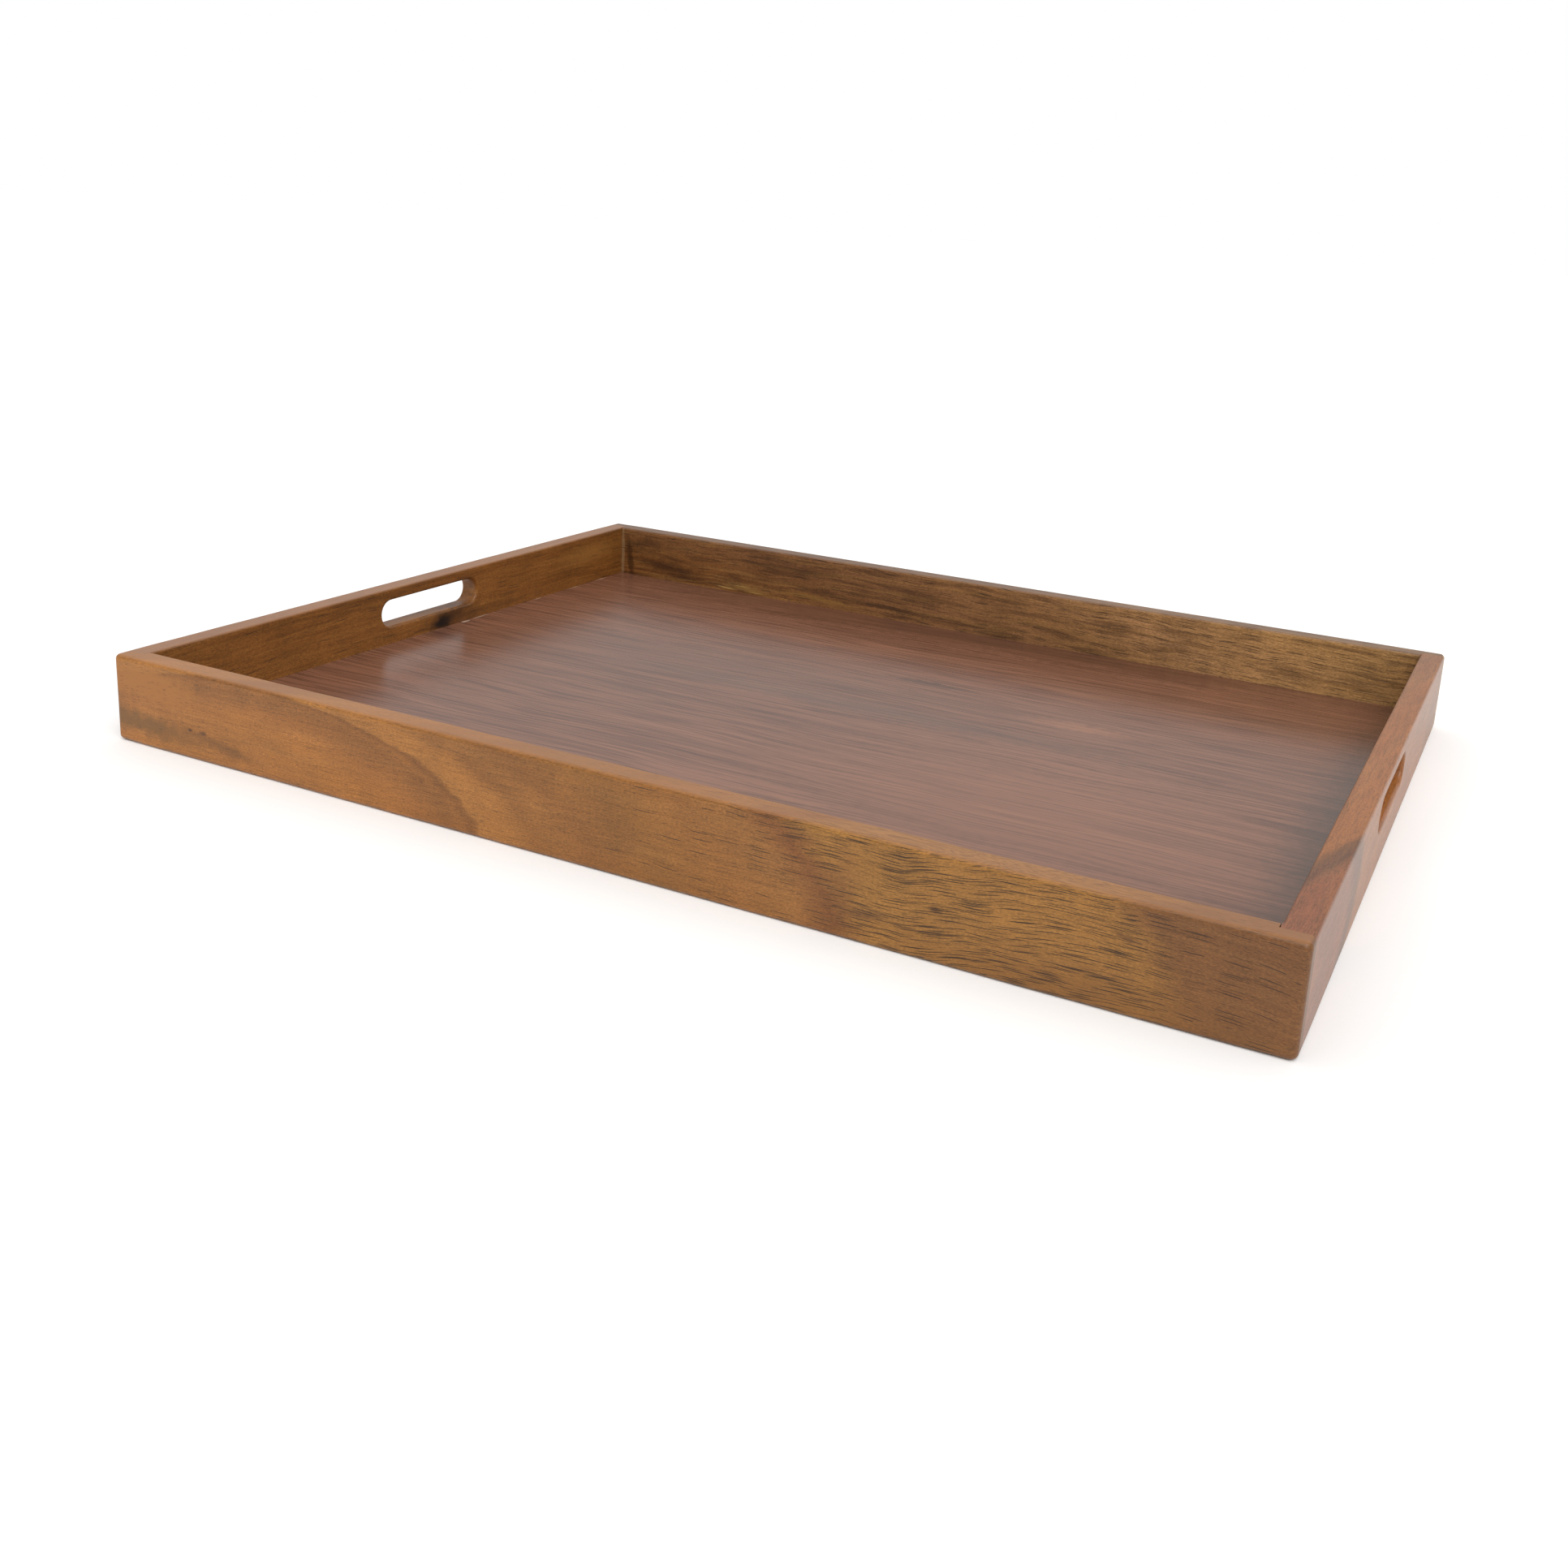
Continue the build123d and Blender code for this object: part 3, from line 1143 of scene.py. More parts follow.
def stepped_shell(
    xs: Sequence[float], ys: Sequence[float], zs: Sequence[float], solid: Solid, skip: Solid
) -> bmesh.types.BMesh:
    """The outside of a solid made of the cells between rows of X, Y and Z.

    Args:
        xs, ys, zs: The rows.
        solid: Whether the cell with this centre is part of the solid.
        skip: Whether a face with this centre is left out, for another shape to fill.

    Returns:
        The shell, closed except where faces were left out.
    """
    mesh = bmesh.new()
    corners: dict[tuple[int, int, int], bmesh.types.BMVert] = {}
    axes = (xs, ys, zs)
    counts = [len(a) - 1 for a in axes]

    def corner(key: tuple[int, int, int]) -> bmesh.types.BMVert:
        """Finds the vertex where three rows cross, and makes it when first asked for.

        Args:
            key: The three rows' numbers.

        Returns:
            The vertex.
        """
        if key not in corners:
            corners[key] = mesh.verts.new([axes[i][key[i]] for i in range(3)])
        return corners[key]

    def filled(cell: list[int]) -> bool:
        """Tells whether a cell exists and is part of the solid.

        Args:
            cell: The cell's numbers along X, Y and Z.

        Returns:
            True where it is.
        """
        if any(not 0 <= cell[i] < counts[i] for i in range(3)):
            return False
        return solid(*[(axes[i][cell[i]] + axes[i][cell[i] + 1]) / 2 for i in range(3)])

    inside = {
        (i, j, k): filled([i, j, k])
        for i in range(counts[0]) for j in range(counts[1]) for k in range(counts[2])
    }
    for cell, full in inside.items():
        if not full:
            continue
        for axis in range(3):
            for side in (0, 1):
                beside = list(cell)
                beside[axis] += 2 * side - 1
                if inside.get(tuple(beside), False):
                    continue
                first, second = (axis + 1) % 3, (axis + 2) % 3
                loop = []
                for a, b in ((0, 0), (1, 0), (1, 1), (0, 1)):
                    key = list(cell)
                    key[axis] += side
                    key[first] += a
                    key[second] += b
                    loop.append(corner(tuple(key)))
                middle = sum((v.co for v in loop), Vector()) / 4
                if not skip(*middle):
                    mesh.faces.new(loop if side else loop[::-1])
    return mesh


SANDING_INPUTS = {
    "Length": ("NodeSocketFloat", 0.6),
    "Width": ("NodeSocketFloat", 0.4),
    "Height": ("NodeSocketFloat", 0.05),
    "Inside Length": ("NodeSocketFloat", 0.57),
    "Inside Width": ("NodeSocketFloat", 0.37),
    "Edge Radius": ("NodeSocketFloat", 0.003),
    "Corner Wear": ("NodeSocketFloat", 0.001),
    "Corner Reach": ("NodeSocketFloat", 0.03),
    "Inner Radius": ("NodeSocketFloat", 0.0015),
    "Unevenness": ("NodeSocketFloat", 0.0004),
    "Seed": ("NodeSocketFloat", 0.0),
    "Material": ("NodeSocketMaterial", None),
}


@dataclass(frozen=True)
class Sanding:
    """How the glued-up frame was sanded round, in metres.

    Every point outside a smaller box, set in by the radius, is drawn onto a ball round that
    box's nearest point, so outer edges and corners come out round and run on across a joint.
    The inner rims get the same in two dimensions. The radius grows near the upright corners
    and varies a little along an edge, as hand sanding leaves it.

    Args:
        edge_radius: The outer edges' radius.
        corner_wear: How much larger it is at an upright corner.
        corner_reach: How far from the corner it starts to grow.
        inner_radius: The inner rims' radius.
        unevenness: How much a radius varies along an edge.
        seed: Sets where it varies.
    """

    edge_radius: float = 2.3 * MM
    corner_wear: float = 0.8 * MM
    corner_reach: float = 26 * MM
    inner_radius: float = 1.3 * MM
    unevenness: float = 0.5 * MM
    seed: float = 3.0

    WAVES = 45.0    # how many times a metre the radius varies
    TINY = 1e-9     # stands for a length of nothing, which can't be divided by

    def values(self, sizes: TraySizes, material: bpy.types.Material) -> dict[str, Any]:
        """Lists the tree's inputs for one rail.

        Args:
            sizes: The tray's sizes.
            material: The rail's material.

        Returns:
            Each input's value, by its name.
        """
        return {
            "Length": sizes.length,
            "Width": sizes.width,
            "Height": sizes.height,
            "Inside Length": sizes.inside_length,
            "Inside Width": sizes.inside_width,
            "Edge Radius": self.edge_radius,
            "Corner Wear": self.corner_wear,
            "Corner Reach": self.corner_reach,
            "Inner Radius": self.inner_radius,
            "Unevenness": self.unevenness,
            "Seed": self.seed,
            "Material": material,
        }

    def tree(self) -> bpy.types.NodeTree:
        """Builds the node tree that sands one rail at a time.

        Returns:
            The tree, with the tray's sizes and the radii as its inputs.
        """
        tree = new_tree("sanded edges", SANDING_INPUTS)
        given = add_node(tree, "NodeGroupInput").outputs
        inputs = {0: given["Length"], 1: given["Width"], 2: given["Height"]}
        whole = add_node(tree, JOIN, inputs).outputs[0]
        half = add_node(tree, VECTOR_MATHS, {0: whole, "Scale": 0.5}, operation="SCALE").outputs[0]
        inputs = {0: half, 1: (0.0, 0.0, 1.0)}
        middle = add_node(tree, VECTOR_MATHS, inputs, operation="MULTIPLY").outputs[0]
        position = add_node(tree, "GeometryNodeInputPosition").outputs[0]
        inputs = {0: position, 1: middle}
        centred = add_node(tree, VECTOR_MATHS, inputs, operation="SUBTRACT").outputs[0]
        octant = add_node(tree, VECTOR_MATHS, {0: centred}, operation="ABSOLUTE").outputs[0]
        signs = add_node(tree, VECTOR_MATHS, {0: centred}, operation="SIGN").outputs[0]
        uneven = self.uneven(tree, given, position)
        rounded = self.rounded_outside(tree, given, octant, half, uneven)
        eased = self.eased_inside(tree, given, octant, half, uneven, rounded)
        inputs = {0: eased, 1: signs}
        signed = add_node(tree, VECTOR_MATHS, inputs, operation="MULTIPLY").outputs[0]
        placed = add_node(tree, VECTOR_MATHS, {0: signed, 1: middle}, operation="ADD").outputs[0]
        inputs = {"Geometry": given["Geometry"], "Position": placed}
        moved = add_node(tree, "GeometryNodeSetPosition", inputs).outputs[0]
        finish_tree(tree, moved, given["Material"])
        return tree

    def uneven(self, tree: bpy.types.NodeTree, given: Any, position: Any) -> Any:
        """Varies the radius from place to place.

        Args:
            tree: The node tree.
            given: The tree's inputs.
            position: A point of the rail.

        Returns:
            How much the radius differs from its setting there.
        """
        inputs = {"Vector": position, "W": given["Seed"], "Scale": self.WAVES, "Detail": 2.0}
        wave = add_node(tree, NOISE, inputs, noise_dimensions="4D").outputs["Fac"]
        inputs = {0: wave, 1: 2.0, 2: -1.0}
        both_ways = add_node(tree, MATHS, inputs, operation="MULTIPLY_ADD").outputs[0]
        inputs = {0: both_ways, 1: given["Unevenness"]}
        return add_node(tree, MATHS, inputs, operation="MULTIPLY").outputs[0]

    def pull(self, tree: bpy.types.NodeTree, radius: Any, offset: Any) -> Any:
        """Works out how far a point comes in to lie on its rounding.

        Args:
            tree: The node tree.
            radius: The rounding's radius.
            offset: The point, seen from the rounding's centre.

        Returns:
            The share of the offset that it keeps, 1 where it already lies inside.
        """
        away = add_node(tree, VECTOR_MATHS, {0: offset}, operation="LENGTH").outputs["Value"]
        length = add_node(tree, MATHS, {0: away, 1: self.TINY}, operation="MAXIMUM").outputs[0]
        ratio = add_node(tree, MATHS, {0: radius, 1: length}, operation="DIVIDE").outputs[0]
        return add_node(tree, MATHS, {0: ratio, 1: 1.0}, operation="MINIMUM").outputs[0]

    def rounded_outside(
        self, tree: bpy.types.NodeTree, given: Any, octant: Any, half: Any, uneven: Any
    ) -> Any:
        """Draws a point onto the outer rounding.

        Args:
            tree: The node tree.
            given: The tree's inputs.
            octant: The point from the tray's middle, with its signs taken off.
            half: Half of the tray's size.
            uneven: How much the radius differs from its setting.

        Returns:
            The drawn point, still without its signs.
        """
        inputs = {0: half, 1: octant}
        inset = add_node(tree, VECTOR_MATHS, inputs, operation="SUBTRACT").outputs[0]
        gaps = add_node(tree, SPLIT, {0: inset}).outputs
        near = []
        for axis in ("X", "Y"):
            inputs = {0: gaps[axis], 1: given["Corner Reach"]}
            share = add_node(tree, MATHS, inputs, operation="DIVIDE").outputs[0]
            rest = add_node(tree, MATHS, {0: 1.0, 1: share}, operation="SUBTRACT").outputs[0]
            near.append(add_node(tree, MATHS, {0: rest, 1: 0.0}, operation="MAXIMUM").outputs[0])
        inputs = {0: near[0], 1: near[1]}
        nearness = add_node(tree, MATHS, inputs, operation="MULTIPLY").outputs[0]
        inputs = {0: nearness, 1: given["Corner Wear"]}
        worn = add_node(tree, MATHS, inputs, operation="MULTIPLY").outputs[0]
        inputs = {0: given["Edge Radius"], 1: worn}
        even = add_node(tree, MATHS, inputs, operation="ADD").outputs[0]
        radius = add_node(tree, MATHS, {0: even, 1: uneven}, operation="ADD").outputs[0]
        margin = add_node(tree, JOIN, {0: radius, 1: radius, 2: radius}).outputs[0]
        inputs = {0: half, 1: margin}
        core = add_node(tree, VECTOR_MATHS, inputs, operation="SUBTRACT").outputs[0]
        inputs = {0: octant, 1: core}
        nearest = add_node(tree, VECTOR_MATHS, inputs, operation="MINIMUM").outputs[0]
        inputs = {0: octant, 1: nearest}
        offset = add_node(tree, VECTOR_MATHS, inputs, operation="SUBTRACT").outputs[0]
        inputs = {0: offset, "Scale": self.pull(tree, radius, offset)}
        drawn = add_node(tree, VECTOR_MATHS, inputs, operation="SCALE").outputs[0]
        return add_node(tree, VECTOR_MATHS, {0: nearest, 1: drawn}, operation="ADD").outputs[0]

    def eased_inside(
        self,
        tree: bpy.types.NodeTree,
        given: Any,
        octant: Any,
        half: Any,
        uneven: Any,
        rounded: Any,
    ) -> Any:
        """Moves a rounded point once more where it lies on an inner rim.

        Args:
            tree: The node tree.
            given: The tree's inputs.
            octant: The point as it was, with its signs taken off.
            half: Half of the tray's size.
            uneven: How much the radius differs from its setting.
            rounded: The point after the outer rounding.

        Returns:
            The point on the inner rim's rounding, or the rounded point elsewhere.
        """
        inputs = {0: given["Inner Radius"], 1: uneven}
        radius = add_node(tree, MATHS, inputs, operation="ADD").outputs[0]
        place = add_node(tree, SPLIT, {0: octant}).outputs
        limit = add_node(tree, SPLIT, {0: half}).outputs
        past = []
        for axis, label in (("X", "Inside Length"), ("Y", "Inside Width")):
            inputs = {0: given[label], 1: 0.5}
            inner = add_node(tree, MATHS, inputs, operation="MULTIPLY").outputs[0]
            inputs = {0: place[axis], 1: inner}
            past.append(add_node(tree, MATHS, inputs, operation="SUBTRACT").outputs[0])
        both = {0: past[0], 1: past[1]}
        depth = add_node(tree, MATHS, both, operation="MAXIMUM").outputs[0]
        other = add_node(tree, MATHS, both, operation="MINIMUM").outputs[0]
        along_x = add_node(tree, MATHS, both, operation="GREATER_THAN").outputs[0]
        inputs = {0: limit["Z"], 1: place["Z"]}
        below = add_node(tree, MATHS, inputs, operation="SUBTRACT").outputs[0]
        reach = []
        for gap in (depth, below):
            rest = add_node(tree, MATHS, {0: radius, 1: gap}, operation="SUBTRACT").outputs[0]
            reach.append(add_node(tree, MATHS, {0: rest, 1: 0.0}, operation="MAXIMUM").outputs[0])
        in_depth, in_height = reach
        offset = add_node(tree, JOIN, {0: in_depth, 1: in_height, 2: 0.0}).outputs[0]
        kept = self.pull(tree, radius, offset)
        inside = add_node(tree, MATHS, {0: depth, 1: -MERGE}, operation="GREATER_THAN").outputs[0]
        beside = add_node(tree, MATHS, {0: other, 1: -MERGE}, operation="LESS_THAN").outputs[0]
        on_rim = add_node(tree, MATHS, {0: inside, 1: beside}, operation="MULTIPLY").outputs[0]
        lost = add_node(tree, MATHS, {0: 1.0, 1: kept}, operation="SUBTRACT").outputs[0]
        share = add_node(tree, MATHS, {0: lost, 1: on_rim}, operation="MULTIPLY").outputs[0]
        shift = add_node(tree, MATHS, {0: in_depth, 1: share}, operation="MULTIPLY").outputs[0]
        along_y = add_node(tree, MATHS, {0: 1.0, 1: along_x}, operation="SUBTRACT").outputs[0]
        shift_x = add_node(tree, MATHS, {0: shift, 1: along_x}, operation="MULTIPLY").outputs[0]
        shift_y = add_node(tree, MATHS, {0: shift, 1: along_y}, operation="MULTIPLY").outputs[0]
        drop = add_node(tree, MATHS, {0: in_height, 1: share}, operation="MULTIPLY").outputs[0]
        down = add_node(tree, MATHS, {0: drop, 1: -1.0}, operation="MULTIPLY").outputs[0]
        move = add_node(tree, JOIN, {0: shift_x, 1: shift_y, 2: down}).outputs[0]
        return add_node(tree, VECTOR_MATHS, {0: rounded, 1: move}, operation="ADD").outputs[0]


@dataclass
class Rail:
    """What the four rails share: their blank, its sanding and its finish.

    Args:
        name: The piece's name.
        node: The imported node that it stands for.
        sizes: The tray's sizes.
        finish: Its wood.
        sanding: How it was sanded.
        sander: The sanding's node tree.
        station: The largest gap between two rows along it.
        depth_step, height_step: The same across it and up it.
    """

    name: str
    node: str
    sizes: TraySizes
    finish: Acacia
    sanding: Sanding
    sander: bpy.types.NodeTree
    station: float = 9 * MM
    depth_step: float = 4 * MM
    height_step: float = 12 * MM

    SHARP_ANGLE = 32    # degrees at which an edge stays sharp

    def blank(self) -> bmesh.types.BMesh:
        """The rail with sharp edges, as it comes off the saw."""
        raise NotImplementedError

    def build(self) -> bpy.types.Object:
        """Makes the sanded rail, with its finish, riding on the tray.

        Returns:
            The rail.
        """
        shell = self.blank()
        bmesh.ops.remove_doubles(shell, verts=shell.verts, dist=MERGE)
        bmesh.ops.recalc_face_normals(shell, faces=shell.faces)
        mesh = bpy.data.meshes.new(self.name)
        shell.to_mesh(mesh)
        shell.free()
        piece = mesh_piece(self.name, mesh)
        material = self.finish.material(*self.outer_face)
        run_tree(piece, self.sander, self.sanding.values(self.sizes, material))
        piece.data.shade_smooth()
        piece.data.set_sharp_from_angle(angle=math.radians(self.SHARP_ANGLE))
        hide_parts(self.node)
        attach(piece, ROOT)
        return piece

    @property
    def outer_face(self) -> tuple[float, int]:
        """Where the outer face lies across the grain, in mm, and which way goes inward."""
        raise NotImplementedError

    def in_groove(self, depth: float, z: float) -> bool:
        """Whether a point this deep in from the outer face lies in the floor's groove."""
        return depth > self.sizes.lip and self.sizes.groove_low < z < self.sizes.floor


@dataclass
class LongRail(Rail):
    """The front or rear rail: full length, with a rabbet at each end for an end rail.

    Args:
        side: -1 for the front rail and 1 for the rear one.
        gaps: How far the left and right rabbet's shoulder stands off the end rail.
    """

    side: int = -1
    gaps: tuple[float, float] = (0.0, 0.0)

    @property
    def outer_face(self) -> tuple[float, int]:
        """Where the outer face lies across the grain, in mm, and which way goes inward."""
        return self.side * self.sizes.width / 2 / MM, -self.side

    def blank(self) -> bmesh.types.BMesh:
        """Makes the rail with sharp edges, rabbets and groove.

        Returns:
            Its closed shell.
        """
        s = self.sizes
        half_length, half_width = s.length / 2, s.width / 2
        shoulders = [s.inside_length / 2 - gap for gap in self.gaps]
        xs = rows(-half_length, half_length, True, (-shoulders[0], shoulders[1]), self.station)
        depths = rows(0.0, s.rail, True, (s.lip,), self.depth_step)
        ys = sorted(self.side * (half_width - d) for d in depths)
        zs = rows(0.0, s.height, True, (s.groove_low, s.floor), self.height_step)

        def solid(x: float, y: float, z: float) -> bool:
            """Tells whether a point is wood.

            Args:
                x, y, z: The point.

            Returns:
                True where it is.
            """
            depth = half_width - abs(y)
            in_rabbet = depth > s.lip and not -shoulders[0] < x < shoulders[1]
            return not in_rabbet and not self.in_groove(depth, z)

        return stepped_shell(xs, ys, zs, solid, lambda *point: False)


@dataclass
class EndRail(Rail):
    """The left or right rail, between the long rails' lips, with its hand slot.

    Args:
        side: -1 for the left rail and 1 for the right one.
        margin: The border round the slot in which the mesh changes from rows to rings.
        support: The narrow row beside a joint or a rounding, which keeps the face next to it flat.
        cells_across, cells_up: How many cells the border's outline has along Y and Z.
        rim_steps: How many faces round the slot's eased rim has.
    """

    side: int = -1
    margin: float = 4 * MM
    support: float = 0.4 * MM
    cells_across: int = 28
    cells_up: int = 9
    rim_steps: int = 8

    @property
    def outer_face(self) -> tuple[float, int]:
        """Where the outer face lies across the grain, in mm, and which way goes inward."""
        return -self.side * self.sizes.length / 2 / MM, self.side

    def blank(self) -> bmesh.types.BMesh:
        """Makes the rail with sharp outer edges, its groove, and its slot with eased rims.

        Returns:
            Its closed shell.
        """
        s = self.sizes
        half_length, half = s.length / 2, s.width / 2 - s.lip
        patch_y = s.slot_length / 2 + self.margin
        patch_z = s.slot_height / 2 + self.margin
        low, high = s.slot_middle - patch_z, s.slot_middle + patch_z
        depths = rows(0.0, s.rail, True, (s.lip,), self.depth_step)
        xs = sorted(self.side * (half_length - d) for d in depths)
        joint = s.inside_width / 2
        fixed = [f * way for way in (-1, 1) for f in (joint, joint - self.support, patch_y)]
        half_cells = self.cells_across // 2
        across = [patch_y * i / half_cells for i in range(-half_cells, half_cells + 1)]
        ys = rows(-half, half, False, fixed + across, self.station)
        up = [low + (high - low) * i / self.cells_up for i in range(self.cells_up + 1)]
        zs = rows(0.0, s.height, True, [s.groove_low, s.floor, *up], self.height_step)

        def solid(x: float, y: float, z: float) -> bool:
            """Whether this point is wood, with the slot counted as wood."""
            return not self.in_groove(half_length - abs(x), z)

        def in_patch(x: float, y: float, z: float) -> bool:
            """Whether this point lies in the border round the slot."""
            return abs(y) < patch_y and low < z < high

        shell = stepped_shell(xs, ys, zs, solid, in_patch)
        inner_ys = [y for y in ys if abs(y) <= patch_y + MERGE]
        inner_zs = [z for z in zs if low - MERGE <= z <= high + MERGE]
        border = [(y, low) for y in inner_ys[:-1]] + [(patch_y, z) for z in inner_zs[:-1]]
        border += [(y, high) for y in inner_ys[:0:-1]] + [(-patch_y, z) for z in inner_zs[:0:-1]]
        self.add_slot(shell, border)
        return shell

    def add_slot(self, shell: bmesh.types.BMesh, border: Sequence[tuple[float, float]]) -> None:
        """Fills the border round the slot with rings of faces, and lines the slot.

        Args:
            shell: The blank, open inside the border on both faces.
            border: The border's points on a face, in order, as places along Y and Z.
        """
        s = self.sizes
        arc = [math.radians(90 * i / self.rim_steps) for i in range(self.rim_steps + 1)]
        rim = [(s.slot_round * (1 - math.sin(a)), s.slot_round * (1 - math.cos(a))) for a in arc]
        beyond = s.slot_round + self.support
        near = [(beyond, 0.0), *rim, (0.0, beyond)]
        far = [(offset, s.rail - depth) for offset, depth in reversed(near)]
        straight = (s.slot_length - s.slot_height) / 2
        rings = []
        for index, (offset, depth) in enumerate([(None, 0.0), *near, *far, (None, s.rail)]):
            x = self.side * (s.length / 2 - depth)
            ring = []
            for y, z in border:
                if offset is None:
                    ring.append(shell.verts.new((x, y, z)))
                    continue
                core = Vector((max(-straight, min(straight, y)), s.slot_middle))
                outward = (Vector((y, z)) - core).normalized()
                point = core + outward * (s.slot_height / 2 + offset)
                ring.append(shell.verts.new((x, point.x, point.y)))
            rings.append(ring)
        count = len(border)
        for first, second in zip(rings, rings[1:]):
            for i in range(count):
                j = (i + 1) % count
                shell.faces.new((first[i], first[j], second[j], second[i]))


# --- small repeated pieces --------------------------------------------------------------


@dataclass
class FillerPlugs:
    """The plugs of filler over the brads: one row at each end of each long rail.

    Args:
        radius, depth: One plug's size.
        dish: How far the filler has sunk in the middle as it dried.
        count: How many plugs are in a row.
        smallest: The smallest plug's scale along X, Y and Z.
        sides: How many sides a plug's circle has.
        seed: Sets which plugs are small.
    """

    radius: float = 1.0 * MM
    depth: float = 2.0 * MM
    dish: float = 0.12 * MM
    count: int = 3
    smallest: tuple[float, float, float] = (0.9, 0.9, 1.0)
    sides: int = 24
    seed: int = 5

    def tree(self) -> bpy.types.NodeTree:
        """Builds the tree that sets plugs in a row at each corner, turned to face outwards.

        Returns:
            The tree, with the rows' and the plugs' sizes as its inputs.
        """
        tree = new_tree(
            "filler plugs",
            {
                "Spread X": ("NodeSocketFloat", 0.6),
                "Spread Y": ("NodeSocketFloat", 0.4),
                "First Height": ("NodeSocketFloat", 0.008),
                "Spacing": ("NodeSocketFloat", 0.017),
                "Count": ("NodeSocketInt", 3),
                "Radius": ("NodeSocketFloat", 0.001),
                "Depth": ("NodeSocketFloat", 0.002),
                "Dish": ("NodeSocketFloat", 0.0001),
                "Seed": ("NodeSocketInt", 0),
                "Material": ("NodeSocketMaterial", None),
            },
        )
        given = add_node(tree, "NodeGroupInput").outputs
        inputs = {"Size X": given["Spread X"], "Size Y": given["Spread Y"]}
        corners = add_node(tree, "GeometryNodeMeshGrid", {**inputs, "Vertices X": 2, "Vertices Y": 2})
        start = add_node(tree, JOIN, {2: given["First Height"]}).outputs[0]
        step = add_node(tree, JOIN, {2: given["Spacing"]}).outputs[0]
        inputs = {"Count": given["Count"], "Start Location": start, "Offset": step}
        column = add_node(tree, "GeometryNodeMeshLine", inputs).outputs[0]
        inputs = {"Points": corners.outputs[0], "Instance": column}
        columns = add_node(tree, "GeometryNodeInstanceOnPoints", inputs).outputs[0]
        places = add_node(tree, "GeometryNodeRealizeInstances", {0: columns}).outputs[0]
        inputs = {
            "Points": places,
            "Instance": self.plug(tree, given),
            "Rotation": self.facing(tree),
            "Scale": self.uneven_scale(tree, given),
        }
        plugs = add_node(tree, "GeometryNodeInstanceOnPoints", inputs).outputs[0]
        finish_tree(tree, plugs, given["Material"])
        return tree

    def plug(self, tree: bpy.types.NodeTree, given: Any) -> Any:
        """Makes one plug along Z, its outer end dished, with that end at height 0.

        Args:
            tree: The node tree.
            given: The tree's inputs.

        Returns:
            The plug's geometry.
        """
        inputs = {
            "Vertices": self.sides,
            "Side Segments": 1,
            "Fill Segments": 4,
            "Radius": given["Radius"],
            "Depth": given["Depth"],
        }
        body = add_node(tree, "GeometryNodeMeshCylinder", inputs)
        position = add_node(tree, "GeometryNodeInputPosition").outputs[0]
        parts = add_node(tree, SPLIT, {0: position}).outputs
        flat = add_node(tree, JOIN, {0: parts["X"], 1: parts["Y"]}).outputs[0]
        out = add_node(tree, VECTOR_MATHS, {0: flat}, operation="LENGTH").outputs["Value"]
        share = add_node(
            tree, MATHS, {0: out, 1: given["Radius"]}, operation="DIVIDE"
        ).outputs[0]
        bowl = add_node(tree, MATHS, {0: share, 1: 2.0}, operation="POWER").outputs[0]
        fall = add_node(tree, MATHS, {0: bowl, 1: 1.0}, operation="SUBTRACT").outputs[0]
        sink = add_node(
            tree, MATHS, {0: fall, 1: given["Dish"]}, operation="MULTIPLY"
        ).outputs[0]
        half = add_node(
            tree, MATHS, {0: given["Depth"], 1: -0.5}, operation="MULTIPLY"
        ).outputs[0]
        upper = add_node(
            tree, MATHS, {0: parts["Z"], 1: 0.0}, operation="GREATER_THAN"
        ).outputs[0]
        lift = add_node(
            tree, MATHS, {0: sink, 1: upper, 2: half}, operation="MULTIPLY_ADD"
        ).outputs[0]
        offset = add_node(tree, JOIN, {2: lift}).outputs[0]
        inputs = {"Geometry": body.outputs["Mesh"], "Offset": offset}
        return add_node(tree, "GeometryNodeSetPosition", inputs).outputs[0]

    def facing(self, tree: bpy.types.NodeTree) -> Any:
        """Finds the turn that points a plug's outer end away from the tray's middle.

        Args:
            tree: The node tree.

        Returns:
            The rotation.
        """
        position = add_node(tree, "GeometryNodeInputPosition").outputs[0]
        signs = add_node(
            tree, VECTOR_MATHS, {0: position}, operation="SIGN"
        ).outputs["Vector"]
        inputs = {0: signs, 1: (0.0, -math.pi / 2, 0.0)}
        turned = add_node(
            tree, VECTOR_MATHS, inputs, operation="MULTIPLY"
        ).outputs["Vector"]
        parts = add_node(tree, SPLIT, {0: turned}).outputs
        return add_node(tree, JOIN, {0: parts["Y"]}).outputs[0]

    def uneven_scale(self, tree: bpy.types.NodeTree, given: Any) -> Any:
        """Gives each plug a slightly different width, with its depth kept.

        Args:
            tree: The node tree.
            given: The tree's inputs.

        Returns:
            The scale.
        """
        inputs = {"Min": self.smallest, "Max": (1.0, 1.0, 1.0), "Seed": given["Seed"]}
        return add_node(
            tree, "FunctionNodeRandomValue", inputs, data_type="FLOAT_VECTOR"
        ).outputs["Value"]

    def build(self) -> bpy.types.Object:
        """Makes the plugs as one piece.

        Returns:
            The piece.
        """
        low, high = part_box("brad_hole_fillers")
        span = high.z - low.z - 2 * self.radius
        values = {
            "Spread X": high.x - low.x - 2 * self.radius,
            "Spread Y": high.y - low.y,
            "First Height": low.z + self.radius,
            "Spacing": span / (self.count - 1),
            "Count": self.count,
            "Radius": self.radius,
            "Depth": self.depth,
            "Dish": self.dish,
            "Seed": self.seed,
            "Material": WOOD_FILLER.material(),
        }
        piece = mesh_piece("filler_plugs", bpy.data.meshes.new("filler_plugs"))
        run_tree(piece, self.tree(), values)
        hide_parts("brad_hole_fillers")
        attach(piece, ROOT)
        return piece


# --- floor and its layers ---------------------------------------------------------------


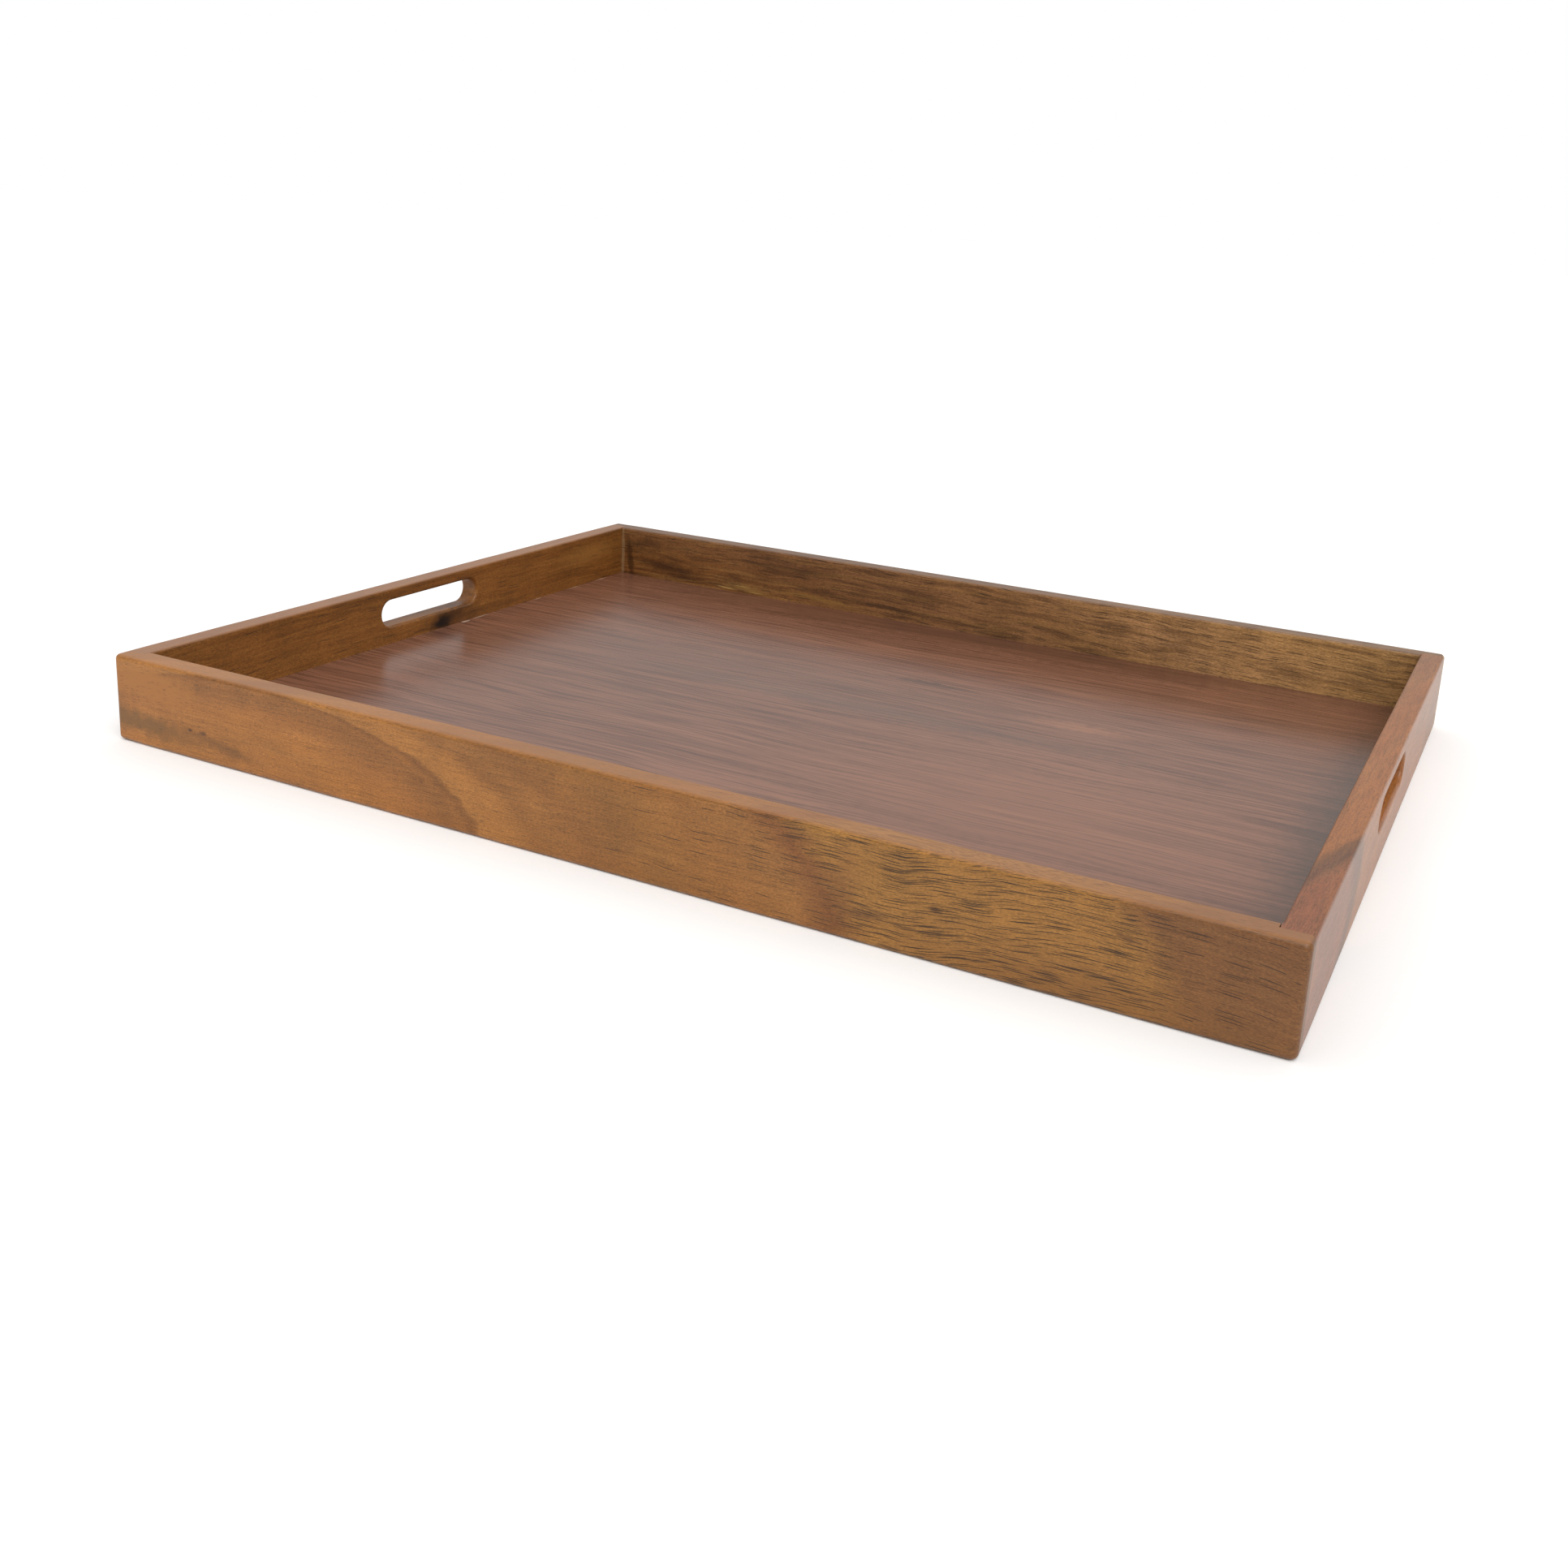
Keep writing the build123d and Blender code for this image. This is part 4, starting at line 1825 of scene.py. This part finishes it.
@dataclass
class FloorPanel:
    """The floor's three layers and the brads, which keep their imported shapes.

    Args:
        top, core, underside: The layers' finishes.
        brads: The brads' finish.
    """

    top: PrintedLaminate = FLOOR_LAMINATE
    core: PlainFinish = CORE_BOARD
    underside: PrintedLaminate = BACK_LAMINATE
    brads: PlainFinish = BRAD_WIRE

    def dress(self) -> None:
        """Gives each layer its own finish."""
        finishes = {
            "floor_top_laminate": self.top,
            "floor_core": self.core,
            "floor_underside_laminate": self.underside,
            "corner_brads": self.brads,
        }
        for node, finish in finishes.items():
            material = finish.material()
            for slot in frame["nodes"][node].material_slots:
                slot.material = material
            log.info("%s is dressed in %s", node, finish.name)


# --- studio -----------------------------------------------------------------------------


@dataclass
class Studio:
    """A plain pale floor, soft light and the camera, in metres and degrees.

    Args:
        camera_place: Where the camera stands.
        heading, pitch, roll: Its direction, from straight to the rear and level.
        lens: Its focal length in millimetres.
        shift: How far its view is shifted, as a share of the sensor.
        sky: How bright the tent is at the horizon and overhead.
        lamp_strength, lamp_width: The lamp's strength and how wide it looks.
        lamp_from: The direction that the lamp shines from.
    """

    camera_place: tuple[float, float, float] = (0.3871, -0.8175, 0.3046)
    heading: float = -26.49
    pitch: float = -14.54
    roll: float = 3.06
    lens: float = 35.55
    shift: tuple[float, float] = (-0.0135, -0.1045)
    sky: tuple[float, float] = (0.44, 0.8)
    lamp_strength: float = 1.75
    lamp_width: float = 50.0
    lamp_from: tuple[float, float, float] = (0.45, -0.65, 1.0)

    FLOOR_REACH = 30.0      # how far the floor goes on each side
    FLOOR_GAP = 0.2 * MM    # keeps the floor off the faces that stand on it
    SKY_RISE = 0.5          # how far up the tent reaches its full brightness
    SENSOR = 36.0           # the sensor's width in millimetres
    NEAR = 0.01             # the nearest that the camera sees

    def build(self) -> None:
        """Makes the floor, the lights and the camera."""
        self.add_floor()
        self.add_sky()
        self.add_softbox()
        self.add_camera()
        bpy.context.scene.view_settings.view_transform = "Standard"

    def add_floor(self) -> None:
        """The pale floor that the tray stands on."""
        mesh = bpy.data.meshes.new("studio_floor")
        shell = bmesh.new()
        bmesh.ops.create_grid(shell, x_segments=1, y_segments=1, size=self.FLOOR_REACH)
        shell.to_mesh(mesh)
        shell.free()
        floor = mesh_piece("studio_floor", mesh)
        floor.location.z = -self.FLOOR_GAP
        paper = PlainFinish("paper backdrop, matt", "#fbfbfa", "#f9f9f8", (3, 3, 3), 0.9)
        mesh.materials.append(paper.material())

    def add_sky(self) -> None:
        """Soft light from all round, brighter overhead, on a white ground for the camera."""
        world = bpy.data.worlds.new("white tent")
        world.use_nodes = True
        tree = world.node_tree
        tree.nodes.clear()
        direction = add_node(tree, "ShaderNodeTexCoord").outputs["Generated"]
        up = add_node(tree, SPLIT, {0: direction}).outputs["Z"]
        inputs = {"Value": up, "From Max": self.SKY_RISE, "To Min": self.sky[0]}
        inputs["To Max"] = self.sky[1]
        level = add_node(tree, MAP_RANGE, inputs).outputs[0]
        tent = add_node(tree, "ShaderNodeBackground", {"Color": linear("#ffffff"), "Strength": level})
        ground = add_node(tree, "ShaderNodeBackground", {"Color": linear("#ffffff")})
        seen = add_node(tree, "ShaderNodeLightPath").outputs["Is Camera Ray"]
        inputs = {0: seen, 1: tent.outputs[0], 2: ground.outputs[0]}
        mixed = add_node(tree, "ShaderNodeMixShader", inputs).outputs[0]
        add_node(tree, "ShaderNodeOutputWorld", {"Surface": mixed})
        bpy.context.scene.world = world

    def add_softbox(self) -> None:
        """A very wide soft lamp high up in front of the tray, as even far off as near."""
        lamp = bpy.data.lights.new("overhead_softbox", "SUN")
        lamp.energy = self.lamp_strength
        lamp.angle = math.radians(self.lamp_width)
        holder = bpy.data.objects.new("overhead_softbox", lamp)
        holder.rotation_euler = (-Vector(self.lamp_from)).to_track_quat("-Z", "Y").to_euler()
        bpy.context.scene.collection.objects.link(holder)

    def add_camera(self) -> None:
        """The camera, turned by heading, then pitch, then roll."""
        camera = bpy.data.cameras.new("camera")
        camera.lens = self.lens
        camera.sensor_width = self.SENSOR
        camera.shift_x, camera.shift_y = self.shift
        camera.clip_start = self.NEAR
        holder = bpy.data.objects.new("camera", camera)
        upright = Euler((math.radians(90 + self.pitch), 0, -math.radians(self.heading))).to_matrix()
        turn = upright @ Matrix.Rotation(math.radians(self.roll), 3, "Z")
        holder.matrix_world = Matrix.Translation(self.camera_place) @ turn.to_4x4()
        bpy.context.scene.collection.objects.link(holder)
        bpy.context.scene.camera = holder


def main() -> None:
    """Builds every piece in order and reports each one."""
    logging.basicConfig(level=logging.INFO, format="%(name)s: %(message)s")
    sizes = TraySizes.from_frame()
    sanding = Sanding()
    tight, loose = sizes.tight_shoulder, sizes.open_shoulder
    shared = {"sizes": sizes, "sanding": sanding, "sander": sanding.tree()}
    rails = (
        LongRail("acacia_front_rail", "front_rail", finish=FRONT_ACACIA, side=-1,
                 gaps=(tight, loose), **shared),
        LongRail("acacia_rear_rail", "rear_rail", finish=REAR_ACACIA, side=1,
                 gaps=(tight, tight), **shared),
        EndRail("acacia_left_end_rail", "left_end_rail", finish=LEFT_ACACIA, side=-1, **shared),
        EndRail("acacia_right_end_rail", "right_end_rail", finish=RIGHT_ACACIA, side=1, **shared),
    )
    for rail in rails:
        piece = rail.build()
        log.info("%s has %d faces", piece.name, len(piece.data.polygons))
    plugs = FillerPlugs().build()
    log.info("%s has %d faces", plugs.name, len(plugs.data.polygons))
    FloorPanel().dress()
    Studio().build()


if __name__ == "__main__":
    main()
